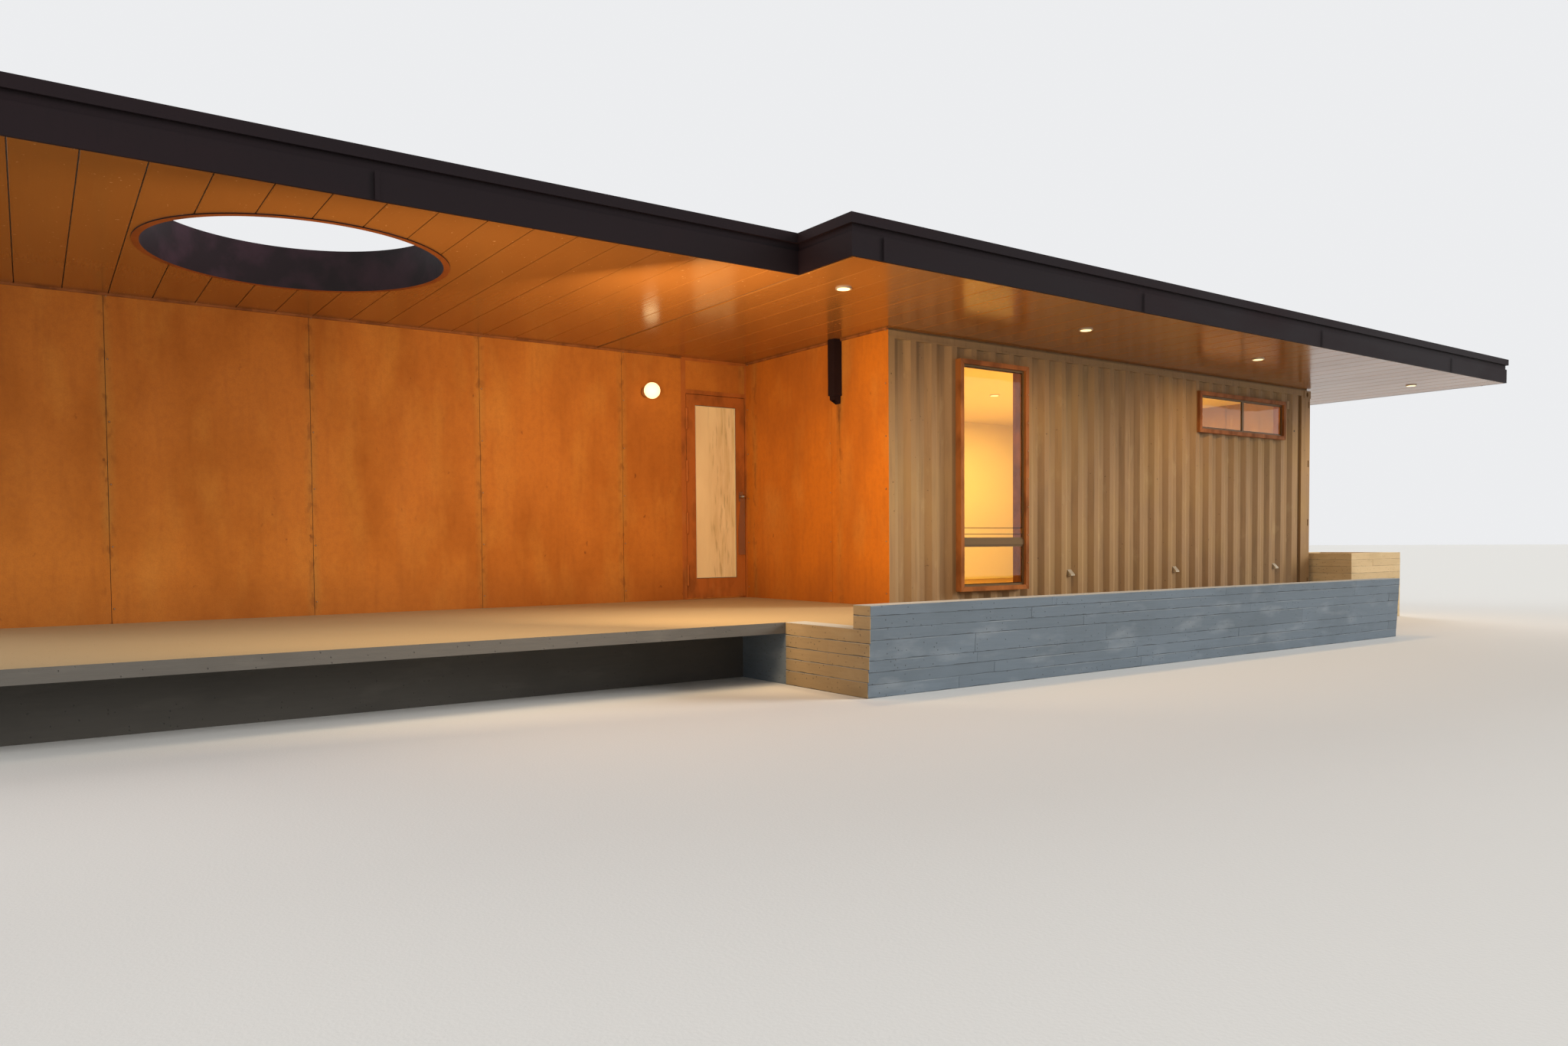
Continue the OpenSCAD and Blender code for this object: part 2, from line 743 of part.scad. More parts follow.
module wing_end_wall() {
    color("gainsboro") at_site() block([wing_left, wing_front + sheet_thickness + framed_wall, 0],
        [wing_left + framed_wall, wing_back - corrugation_depth - skin_thickness, soffit_height]);
}

module wing_end_sheets() {
    seam = wing_front + sheet_width;
    color(weathered) at_site() for (y = [[wing_front, seam - sheet_gap / 2], [seam + sheet_gap / 2, wing_back]])
        block([wing_left - sheet_thickness, y[0], 0], [wing_left, y[1], sheet_top]);
}

// Door
module door_frame() {
    y0 = wing_front;
    y1 = wing_front + door_frame_depth;
    stop = leaf_back + door_gap;
    color(frame_rust) at_site() {
        block([door_frame_left, y0, 0], [frame_left, y1, soffit_height]);
        block([frame_right, y0, 0], [0, y1, soffit_height]);
        block([frame_left, y0, door_head_bottom], [frame_right, y1, door_head_top]);
        block([frame_left, y0, transom_top], [frame_right, y1, soffit_height]);
        block([frame_left, stop, 0], [frame_left + frame_stop, y1, door_head_bottom]);
        block([frame_right - frame_stop, stop, 0], [frame_right, y1, door_head_bottom]);
        block([frame_left, stop, door_head_bottom - frame_stop], [frame_right, y1, door_head_bottom]);
        block([frame_left, y0, 0], [frame_right, y1, threshold_height]);
    }
}

module transom_panel() {
    front = wing_front + transom_setback;
    color(weathered) at_site() {
        block([frame_left, front, door_head_top], [frame_right, wing_front + framed_wall, transom_top]);
        difference() {
            block([frame_left, front - transom_setback / 2, door_head_top], [frame_right, front, transom_top]);
            block([frame_left + bead_width, wing_front, door_head_top + bead_width],
                [frame_right - bead_width, front, transom_top - bead_width]);
        }
    }
}

module door_leaf() {
    color(frame_rust) at_site() difference() {
        block([leaf_left, leaf_front, leaf_bottom], [leaf_right, leaf_front + leaf_thickness, leaf_top]);
        block([leaf_left + stile_width, leaf_front - touch, leaf_bottom + leaf_bottom_rail],
            [leaf_right - stile_width, leaf_front + leaf_thickness + touch, leaf_top - leaf_top_rail]);
    }
}

module door_glass() {
    y0 = leaf_front + (leaf_thickness - glass_thickness) / 2;
    color(glass) at_site() block([leaf_left + stile_width, y0, leaf_bottom + leaf_bottom_rail],
        [leaf_right - stile_width, y0 + glass_thickness, leaf_top - leaf_top_rail]);
}

// Barrel halves of the weld-on hinges, with a round end: the lower on the jamb, the upper on the leaf.
module hinge_barrels(low, high, tip) {
    for (k = [0:hinge_count - 1]) translate([hinge_x, hinge_y, hinge_first + k * hinge_spacing]) {
        translate([0, 0, low]) cylinder(d = hinge_diameter, h = high - low);
        translate([0, 0, tip]) sphere(d = hinge_diameter);
    }
}

module jamb_hinges() {
    top = (hinge_height - hinge_play) / 2;
    color(frame_rust) at_site() {
        hinge_barrels(0, top, 0);
        for (k = [0:hinge_count - 1])
            block([hinge_x - hinge_diameter / 2, hinge_y, hinge_first + k * hinge_spacing],
                [hinge_x - door_gap / 2, leaf_front, hinge_first + k * hinge_spacing + top]);
    }
}

module leaf_hinges() {
    bottom = (hinge_height + hinge_play) / 2;
    color(frame_rust) at_site() {
        hinge_barrels(bottom, hinge_height, hinge_height);
        for (k = [0:hinge_count - 1])
            block([hinge_x + door_gap / 2, hinge_y, hinge_first + k * hinge_spacing + bottom],
                [hinge_x + hinge_diameter / 2, leaf_front, hinge_first + k * hinge_spacing + hinge_height]);
    }
}

// Knob on its plate, on the face at y = 0 and towards -y.
module knob() {
    block([-rose_width / 2, -plate_thickness, -rose_height / 2], [rose_width / 2, 0, rose_height / 2]);
    rotate([90, 0, 0]) {
        cylinder(d = knob_diameter / 2, h = knob_reach);
        translate([0, 0, knob_reach]) cylinder(d = knob_diameter, h = knob_collar);
        translate([0, 0, knob_reach + knob_collar]) sphere(d = knob_diameter);
    }
}

module door_handle() {
    x = leaf_right - stile_width / 2;
    right = leaf_right - plate_thickness;
    foot = handle_height - rose_height / 2 - guard_length;
    color("silver") at_site() {
        translate([x, leaf_front, handle_height]) knob();
        translate([x, leaf_back, handle_height]) mirror([0, 1, 0]) knob();
        // Latch guard plate, its left edge sloping towards the knob
        translate([0, leaf_front, 0]) rotate([90, 0, 0]) linear_extrude(plate_thickness)
            polygon([[right - guard_width, foot], [right, foot], [right, handle_height],
                [x, handle_height], [right - guard_width, foot + guard_length / 2]]);
    }
}

// Windows
module window_box(width, height, projection) {
    difference() {
        block([0, -projection, 0], [width, frame_back, height]);
        block([frame_face, -projection - touch, frame_face],
            [width - frame_face, frame_back + touch, height - frame_face]);
    }
}

module tall_window_frame() {
    color(frame_rust) at_site() translate([tall_window_left, 0, tall_window_sill])
        window_box(tall_window_width, tall_window_height, tall_projection);
}

module wide_window_frame() {
    color(frame_rust) at_site() translate([wide_window_left, 0, window_head - wide_window_height])
        window_box(wide_window_width, wide_window_height, wide_projection);
}

// Openings of both windows: lower left corner, upper right corner, place of the pane.
function window_lights() =
    let (x0 = tall_window_left + frame_face, x1 = tall_window_left + tall_window_width - frame_face,
        w0 = wide_window_left + frame_face, w1 = wide_window_left + wide_window_width - frame_face,
        middle = wide_window_left + wide_window_width / 2,
        low = window_head - wide_window_height + frame_face, high = window_head - frame_face)
    [[x0, tall_window_sill + frame_face, x1, transom_height, tall_pane],
        [x0, transom_height + transom_bar, x1, high, tall_pane],
        [w0, low, middle, high, wide_pane], [middle, low, w1, high, wide_pane]];

// Sashes that meet in the middle of the wide window, and above and below the bar of the tall one.
module window_sashes() {
    color("silver") at_site() {
        for (a = window_lights()) difference() {
            block([a[0], a[4] - sash_depth / 2, a[1]], [a[2], a[4] + sash_depth / 2, a[3]]);
            block([a[0] + sash_width, a[4] - sash_depth, a[1] + sash_width],
                [a[2] - sash_width, a[4] + sash_depth, a[3] - sash_width]);
        }
        block([tall_window_left + frame_face, bar_setback - tall_projection, transom_height],
            [tall_window_left + tall_window_width - frame_face, tall_pane + sash_depth / 2,
                transom_height + transom_bar]);
    }
}

module window_panes() {
    color(glass) at_site() for (a = window_lights())
        block([a[0] + sash_width, a[4] - glass_thickness / 2, a[1] + sash_width],
            [a[2] - sash_width, a[4] + glass_thickness / 2, a[3] - sash_width]);
}

// Roof
module opening_hole(radius, z0, z1) {
    translate([-opening_centre_x, opening_centre_y, z0]) cylinder(r = radius, h = z1 - z0, $fn = 96);
}

// A layer of the porch roof or of the cabin roof, inside the fascia.
module porch_layer(z0, z1) {
    block([roof_left + fascia_thickness, porch_front + fascia_thickness, z0],
        [roof_jog + fascia_thickness, roof_back - fascia_thickness, z1]);
}

module cabin_layer(z0, z1) {
    block([roof_jog + fascia_thickness, cabin_front + fascia_thickness, z0],
        [roof_right - fascia_thickness, roof_back - fascia_thickness, z1]);
}

module porch_roof() {
    color("dimgray") at_site() difference() {
        porch_layer(roof_z + soffit_thickness, deck_top);
        opening_hole(opening_diameter / 2 + ring_thickness, roof_z, roof_top);
    }
}

module cabin_roof() {
    color("dimgray") at_site() cabin_layer(roof_z + soffit_thickness, deck_top);
}

module porch_soffit() {
    color(boards) at_site() difference() {
        porch_layer(roof_z, roof_z + soffit_thickness);
        opening_hole(opening_diameter / 2 + ring_thickness, roof_z - touch, roof_top);
    }
}

module cabin_soffit() {
    color(boards) at_site() cabin_layer(roof_z, roof_z + soffit_thickness);
}

// One side of the roof edge: lower band, set back band and cap, mitred at its ends.
module roof_edge(i) {
    color(steel_fascia) at_site() {
        translate([0, 0, roof_z]) linear_extrude(fascia_band) polygon(edge_strip(i, 0, fascia_thickness));
        translate([0, 0, roof_z + fascia_band]) linear_extrude(fascia_upper_band)
            polygon(edge_strip(i, band_setback, fascia_thickness));
        translate([0, 0, deck_top]) linear_extrude(cap_height)
            polygon(edge_strip(i, -cap_projection, cap_width));
    }
}

module porch_fascia() { roof_edge(0); }
module step_fascia() { roof_edge(1); }
module cabin_fascia() { roof_edge(2); }
module right_fascia() { roof_edge(3); }
module back_fascia() { roof_edge(4); }
module left_fascia() { roof_edge(5); }

module roof_ring() {
    inner = opening_diameter / 2;
    color(frame_rust) at_site() translate([-opening_centre_x, opening_centre_y, 0]) {
        difference() {
            translate([0, 0, roof_z]) cylinder(r = inner + ring_thickness, h = roof_top - roof_z, $fn = 96);
            translate([0, 0, roof_z - touch]) cylinder(r = inner, h = roof_top - roof_z + 2 * touch, $fn = 96);
        }
        difference() {
            translate([0, 0, roof_z - ring_trim_thickness])
                cylinder(r = inner + ring_trim_width, h = ring_trim_thickness, $fn = 96);
            translate([0, 0, roof_z - ring_trim_thickness - touch])
                cylinder(r = inner, h = ring_trim_thickness + 2 * touch, $fn = 96);
        }
    }
}

// Lights and downspout
// A trim ring under a ceiling at z = 0, with its lens set up inside it.
module downlight() {
    lens = downlight_diameter - 2 * downlight_ring;
    translate([0, 0, -downlight_thickness]) difference() {
        cylinder(d = downlight_diameter, h = downlight_thickness);
        translate([0, 0, -touch]) cylinder(d = lens, h = downlight_thickness / 2 + touch);
    }
}

module downlights() {
    places = concat([for (k = [0:downlights_before - 1]) k * downlight_spacing - downlight_first],
        [roof_right - downlight_end]);
    color("ivory") at_site() {
        for (x = places) translate([x, -downlight_reach, roof_z]) downlight();
        translate([room_light_x, room_light_y, ceiling_height]) downlight();
    }
}

module wall_light() {
    color(frame_rust) at_site() translate([-wall_light_x, wing_front, wall_light_height]) rotate([90, 0, 0]) {
        cylinder(d = back_plate_diameter, h = back_plate_thickness);
        translate([0, 0, back_plate_thickness]) cylinder(d = neck_diameter, h = neck_length);
    }
}

// Globe turned about y, with a flat seat against the neck of the lamp.
module light_globe() {
    radius = globe_diameter / 2;
    seat = wing_front - back_plate_thickness - neck_length;
    first = acos((globe_seat - radius) / radius);
    steps = 24;
    color("ivory") at_site() translate([-wall_light_x, seat - radius + globe_seat, wall_light_height])
        rotate([90, 0, 0]) rotate_extrude() polygon(concat([[0, globe_seat - radius]],
            [for (k = [0:steps]) let (a = first * (1 - k / steps)) [radius * sin(a), radius * cos(a)]]));
}

// Outline of a path light from the side: y outwards, z up.
module path_light_side(inset, open) {
    half = path_light_length / 2;
    polygon([[inset, half - inset], [path_light_reach - inset, -half / 2],
        [path_light_reach - inset, -half / 2 - path_light_lip - open], [inset, -half - open]]);
}

// Path lights in the troughs of the corrugation, past the tall window, in the middle and near the end.
module path_lights() {
    width = min(path_light_width, corrugation_flat - 2);
    before = ceil((tall_window_left + tall_window_width - end_strip_width) / corrugation_pitch);
    first = before + path_light_skip - 1;
    last = corrugations(groove_left) - 2;
    color(steel_bronze) at_site() for (k = [first, floor((first + last) / 2), last]) {
        x = end_strip_width + k * corrugation_pitch + corrugation_slope + corrugation_flat / 2;
        translate([x + width / 2, corrugation_depth, path_light_height]) rotate([90, 0, -90]) difference() {
            linear_extrude(width) path_light_side(0, 0);
            translate([0, 0, path_light_wall]) linear_extrude(width - 2 * path_light_wall)
                path_light_side(path_light_wall, path_light_length);
        }
    }
}

// Square outlet pipe with an open foot, from its top at z = 0 downwards, standing off x = 0 towards -x.
module square_pipe(width, length) {
    difference() {
        block([-width, 0, -length], [0, width, 0]);
        block([spout_wall - width, spout_wall, -length - touch], [-spout_wall, width - spout_wall, touch]);
    }
}

module downspout() {
    outlet = spout_width - 2 * outlet_step;
    hole = outlet_step + spout_wall;
    color(steel_fascia) at_site() translate([-sheet_thickness, spout_y, soffit_height]) {
        square_pipe(spout_width, spout_length);
        // Outlet, its foot cut at a slope
        translate([-outlet_step, outlet_step, -spout_length]) difference() {
            square_pipe(outlet, outlet_height);
            translate([touch, -touch, 0]) rotate([90, 0, 180]) linear_extrude(spout_width)
                polygon([[0, -outlet_height - touch], [outlet + 2 * touch, -outlet_height - touch],
                    [outlet + 2 * touch, -outlet_height / 2]]);
        }
        // Foot of the downspout, closed round the outlet
        difference() {
            block([-spout_width, 0, -spout_length], [0, spout_width, spout_wall - spout_length]);
            block([hole - spout_width, hole, -spout_length - touch],
                [-hole, spout_width - hole, touch + spout_wall - spout_length]);
        }
    }
}

porch_slab();
terrace_walls();
end_planter();
foundations();
house_floor();
ceiling();
front_wall();
back_wall();
wall_linings();
container_rails();
corner_posts();
cargo_doors();
lock_rods();
cabin_end_wall();
cabin_end_sheets();
porch_wall();
porch_sheets();
wing_end_wall();
wing_end_sheets();
door_frame();
transom_panel();
door_leaf();
door_glass();
jamb_hinges();
leaf_hinges();
door_handle();
tall_window_frame();
wide_window_frame();
window_sashes();
window_panes();
porch_roof();
cabin_roof();
porch_soffit();
cabin_soffit();
porch_fascia();
step_fascia();
cabin_fascia();
right_fascia();
back_fascia();
left_fascia();
roof_ring();
downlights();
wall_light();
light_globe();
path_lights();
downspout();
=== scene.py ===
"""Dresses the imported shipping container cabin.

The solids of the frame get their finishes, and the fine pieces that the solids
leave out are modelled here: soffit boards, form-board marks, screws, gaskets,
lamp lenses and roof seams. Lengths are metres in the frame's own axes, and the
patterns of the finishes are given in millimetres.
"""

from __future__ import annotations

import json
import logging
import math
import random
from collections.abc import Iterable, Sequence
from dataclasses import dataclass, field
from enum import Enum

import bpy
from mathutils import Matrix, Vector

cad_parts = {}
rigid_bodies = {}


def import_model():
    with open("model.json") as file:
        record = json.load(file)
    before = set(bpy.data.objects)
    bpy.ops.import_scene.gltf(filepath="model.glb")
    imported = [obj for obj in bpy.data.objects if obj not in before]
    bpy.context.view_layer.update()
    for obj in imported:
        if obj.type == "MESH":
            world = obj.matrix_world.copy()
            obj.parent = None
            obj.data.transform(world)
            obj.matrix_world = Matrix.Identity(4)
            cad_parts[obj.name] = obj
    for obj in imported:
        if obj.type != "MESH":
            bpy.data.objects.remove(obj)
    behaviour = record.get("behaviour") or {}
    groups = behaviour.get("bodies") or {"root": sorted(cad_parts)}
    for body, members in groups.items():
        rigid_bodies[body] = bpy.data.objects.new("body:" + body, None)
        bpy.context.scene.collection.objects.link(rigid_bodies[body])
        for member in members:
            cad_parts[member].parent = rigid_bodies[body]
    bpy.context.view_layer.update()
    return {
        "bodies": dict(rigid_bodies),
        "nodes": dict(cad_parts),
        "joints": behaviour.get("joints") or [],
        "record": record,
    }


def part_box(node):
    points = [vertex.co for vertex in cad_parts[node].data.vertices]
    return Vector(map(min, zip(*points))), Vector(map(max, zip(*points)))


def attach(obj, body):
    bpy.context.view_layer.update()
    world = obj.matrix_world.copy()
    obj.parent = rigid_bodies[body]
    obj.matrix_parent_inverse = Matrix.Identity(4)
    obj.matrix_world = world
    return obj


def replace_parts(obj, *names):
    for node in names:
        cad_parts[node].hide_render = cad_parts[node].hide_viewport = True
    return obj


LOG = logging.getLogger("cabin")
MM = 0.001
BOARD = "board"
X_AXIS, Y_AXIS, Z_AXIS = Vector((1, 0, 0)), Vector((0, 1, 0)), Vector((0, 0, 1))

Piece = bpy.types.Object
Socket = bpy.types.NodeSocket
Pair = tuple[float, float]
Triple = tuple[float, float, float]


class Body(Enum):
    """The bodies of the frame that pieces ride on."""

    CABIN = "cabin"
    DOOR = "door"


class Slot(Enum):
    """The record's material slots."""

    CONCRETE = "board_formed_concrete"
    PAINT = "container_paint"
    FRAME = "frame_steel"
    HANDLE = "handle_steel"
    MEMBRANE = "roof_membrane"
    BOARDS = "soffit_boards"
    FASCIA = "fascia_steel"
    LAMP = "lamp_glass"


def linear(code: str) -> tuple[float, ...]:
    """Turns an sRGB colour into the linear values that Blender works with.

    Args:
        code: The colour as six hexadecimal digits after a hash sign.

    Returns:
        Red, green, blue, and 1 for full cover.
    """
    parts = [int(code[i : i + 2], 16) / 255 for i in (1, 3, 5)]
    return *(p / 12.92 if p <= 0.04045 else ((p + 0.055) / 1.055) ** 2.4 for p in parts), 1.0


@dataclass
class Surface:
    """The nodes of one finish in the making, and the shader that they lead to."""

    tree: bpy.types.NodeTree
    shader: bpy.types.Node

    def add(
        self,
        kind: str,
        settings: dict[str | int, object] | None = None,
        links: dict[str | int, Socket] | None = None,
        output: str | int = 0,
    ) -> Socket:
        """Adds a node with its settings and links.

        Args:
            kind: Blender's name for the kind of node, without ShaderNode before it.
            settings: Values by property name, input name or input number.
            links: Output sockets by input name or input number.
            output: Name or number of the output that is wanted.

        Returns:
            That output of the new node.
        """
        node = self.tree.nodes.new("ShaderNode" + kind)
        for name, value in (settings or {}).items():
            if isinstance(name, str) and name not in node.inputs:
                setattr(node, name, value)
            else:
                node.inputs[name].default_value = value
        for name, source in (links or {}).items():
            self.tree.links.new(source, node.inputs[name])
        return node.outputs[output]

    def place(self) -> Socket:
        """Returns where each point lies on the house, in metres."""
        return self.add("TexCoord", output="Object")

    def along(self, axis: str) -> Socket:
        """Returns how far each point lies along an axis, named X, Y or Z."""
        return self.add("SeparateXYZ", links={0: self.place()}, output=axis)

    def to_joint(self, axis: str, first: float, pitch: float) -> Socket:
        """Measures how far each point lies from the nearest joint of a row of sheets or boards.

        Args:
            axis: The axis that the row runs along, as X, Y or Z.
            first: Place of any one joint along it.
            pitch: Distance between the joints.

        Returns:
            The distance in metres.
        """
        across = self.add("Math", {"operation": "SUBTRACT", 1: first}, {0: self.along(axis)})
        return self.add("Math", {"operation": "PINGPONG", 1: pitch / 2}, {0: across})

    def board_marks(self) -> Sequence[Socket]:
        """Returns what each board carries: its tone, its points' heights and half its height."""
        marks = self.add("Attribute", {"attribute_name": BOARD}, output="Vector")
        return self.add("SeparateXYZ", links={0: marks}).node.outputs

    def patches(
        self,
        size: float,
        edge: Pair,
        stretch: Triple = (1.0, 1.0, 1.0),
        detail: float = 4.0,
        shift: float = 0.0,
    ) -> Socket:
        """Makes a mask of irregular patches of a real size.

        Args:
            size: The usual width of a patch in millimetres.
            edge: The noise values where a patch begins and where it is full.
            stretch: How many times longer a patch is along each axis.
            detail: How ragged the patches are.
            shift: Moves the pattern, so that two masks differ.

        Returns:
            A value from 0 outside the patches to 1 inside them.
        """
        frame = {"Location": (shift,) * 3, "Scale": tuple(1 / s for s in stretch)}
        moved = self.add("Mapping", frame, {"Vector": self.place()})
        ragged = {"Scale": 1 / (size * MM), "Detail": detail}
        noise = self.add("TexNoise", ragged, {"Vector": moved}, "Fac")
        return self.add("MapRange", {"From Min": edge[0], "From Max": edge[1]}, {"Value": noise})

    def fade(self, measure: Socket | str, full: float, gone: float) -> Socket:
        """Makes a mask that falls from 1 to 0 between two values of a measure.

        Args:
            measure: What is measured, or the axis that it is measured along.
            full: The value at which the mask is 1, and stays 1.
            gone: The value at which it has fallen to 0, on either side of the first.

        Returns:
            A value from 0 to 1.
        """
        source = self.along(measure) if isinstance(measure, str) else measure
        span = {"From Min": full, "From Max": gone, "To Min": 1.0, "To Max": 0.0}
        return self.add("MapRange", span, {"Value": source})

    def near(self, axis: str, at: float, reach: float) -> Socket:
        """Makes a mask that is 1 at one place along an axis and gone a short way from it.

        Args:
            axis: The axis, as X, Y or Z.
            at: The place in metres.
            reach: How far the mask reaches to each side, in metres.

        Returns:
            A value from 0 to 1.
        """
        beyond = self.add("Math", {"operation": "SUBTRACT", 1: at}, {0: self.along(axis)})
        return self.fade(self.add("Math", {"operation": "ABSOLUTE"}, {0: beyond}), 0.0, reach)

    def facing(self, way: Triple, least: float = 0.5) -> Socket:
        """Makes a mask of the faces that look one way.

        Args:
            way: The direction that they look in.
            least: How squarely they do, from 0 for any slant to 1 for square on.

        Returns:
            1 on those faces and 0 on the others.
        """
        normal = self.add("NewGeometry", output="Normal")
        square = self.add("VectorMath", {"operation": "DOT_PRODUCT", 1: way}, {0: normal}, "Value")
        return self.add("Math", {"operation": "GREATER_THAN", 1: least}, {0: square})

    def pores(self, spacing: float, radius: float, share: float, full: float = 0.6) -> Socket:
        """Makes a mask of round pits scattered over a surface.

        Args:
            spacing: Usual distance between the places where a pit may be, in millimetres.
            radius: Largest radius of a pit in millimetres.
            share: Share of those places that have a pit.
            full: Share of the radius inside which the mask is 1.

        Returns:
            A value from 0 outside the pits to 1 in their middles.
        """
        scale = {"Scale": 1 / (spacing * MM)}
        cells = self.add("TexVoronoi", scale, {"Vector": self.place()}).node.outputs
        dice = self.add("SeparateXYZ", links={0: cells["Color"]})
        chosen = self.add("Math", {"operation": "LESS_THAN", 1: share}, {0: dice})
        edge = radius / spacing
        return self.overlap(self.fade(cells["Distance"], full * edge, edge), chosen)

    def overlap(self, *masks: Socket) -> Socket:
        """Makes a mask of where several masks overlap.

        Args:
            masks: The masks, each from 0 to 1.

        Returns:
            Their product.
        """
        shared, *others = masks
        for mask in others:
            shared = self.add("Math", {"operation": "MULTIPLY"}, {0: shared, 1: mask})
        return shared

    def coat(self, base: str, *coats: tuple[str, Socket, float]) -> None:
        """Lays colours over one another and gives the surface the result.

        Args:
            base: The lowest colour.
            coats: Each colour above it, where its mask lets it lie, and how much of it shows there.
        """
        under = None
        for colour, mask, strength in coats:
            amount = self.add("Math", {"operation": "MULTIPLY", 1: strength}, {0: mask})
            colours = {"data_type": "RGBA", 6: linear(base), 7: linear(colour)}
            under = self.add("Mix", colours, {0: amount} if under is None else {0: amount, 6: under}, 2)
        self.tree.links.new(under, self.shader.inputs["Base Color"])

    def relief(self, *heights: tuple[Socket, float]) -> None:
        """Gives the surface its dents and grain.

        Args:
            heights: Masks with their depth in millimetres, negative for hollows.
        """
        below: dict[str, Socket] = {}
        for mask, depth in heights:
            dent = {"Distance": abs(depth) * MM, "invert": depth < 0}
            below = {"Normal": self.add("Bump", dent, {"Height": mask} | below)}
        self.tree.links.new(below["Normal"], self.shader.inputs["Normal"])

    def vary(self, mask: Socket, smooth: float, rough: float) -> None:
        """Lets the roughness run between two values.

        Args:
            mask: Where the surface is rougher, from 0 to 1.
            smooth: Roughness where the mask is 0.
            rough: Roughness where the mask is 1.
        """
        span = self.add("MapRange", {"To Min": smooth, "To Max": rough}, {"Value": mask})
        self.tree.links.new(span, self.shader.inputs["Roughness"])

    def give(self, values: dict[str, object]) -> None:
        """Sets inputs of the shader by their names."""
        for name, value in values.items():
            self.shader.inputs[name].default_value = value


@dataclass(frozen=True)
class Finish:
    """A plain finish with one colour; the finishes below add what the real ones show."""

    name: str
    colour: str
    roughness: float = 0.5
    metallic: float = 0.0
    gloss: float = 0.5

    def material(self) -> bpy.types.Material:
        """Makes the material, or finds it when it is made already.

        Returns:
            The material of this finish.
        """
        made = bpy.data.materials.get(self.name)
        if made is None:
            made = bpy.data.materials.new(self.name)
            made.use_nodes = True
            on = Surface(made.node_tree, made.node_tree.nodes["Principled BSDF"])
            on.give({"Base Color": linear(self.colour), "Roughness": self.roughness})
            on.give({"Metallic": self.metallic, "Specular IOR Level": self.gloss})
            self.paint(on)
        return made

    def paint(self, on: Surface) -> None:
        """Adds a fine grain, drawn coarser than the real one so that it shows."""
        on.relief((on.patches(12, (0.3, 0.7)), 0.3))


@dataclass(frozen=True)
class ContainerPaint(Finish):
    """Alkyd paint sprayed on corrugated steel: satin, dented, streaked by rain, with rust at chips.

    The sheet is darker towards its foot.
    """

    name: str = "bronze_container_paint"
    colour: str = "#91734F"
    gloss: float = 0.35
    floor: float = 0.48
    foot_span: Pair = (-0.25, 0.7)

    def paint(self, on: Surface) -> None:
        """Adds rain streaks, dust, scuffs, a darker foot, chips and dents."""
        streaks = on.patches(45, (0.5, 0.72), (1, 1, 14))
        dust = on.patches(600, (0.45, 0.7), shift=3.1)
        scuffs = on.patches(110, (0.62, 0.72), (1, 1, 2.5), shift=7.7)
        darker_foot = on.fade("Z", self.floor + self.foot_span[0], self.floor + self.foot_span[1])
        # Small chips would be too fine to show, so all of them are drawn coarse.
        chips = on.patches(30, (0.71, 0.735), shift=12.3)
        dents = on.patches(260, (0.3, 0.7), (1, 1, 1.6), 1.5, 5.0)
        dimples = on.patches(120, (0.68, 0.84), detail=1.0, shift=9.0)
        on.coat(
            self.colour,
            ("#6E583C", streaks, 0.45),
            ("#A08558", dust, 0.35),
            ("#AE946B", scuffs, 0.3),
            ("#5F4C3C", darker_foot, 0.4),
            ("#3E2314", chips, 0.9),
        )
        on.vary(dust, self.roughness, self.roughness + 0.14)
        on.relief((dents, 3.0), (dimples, -2.5), (chips, -0.8))


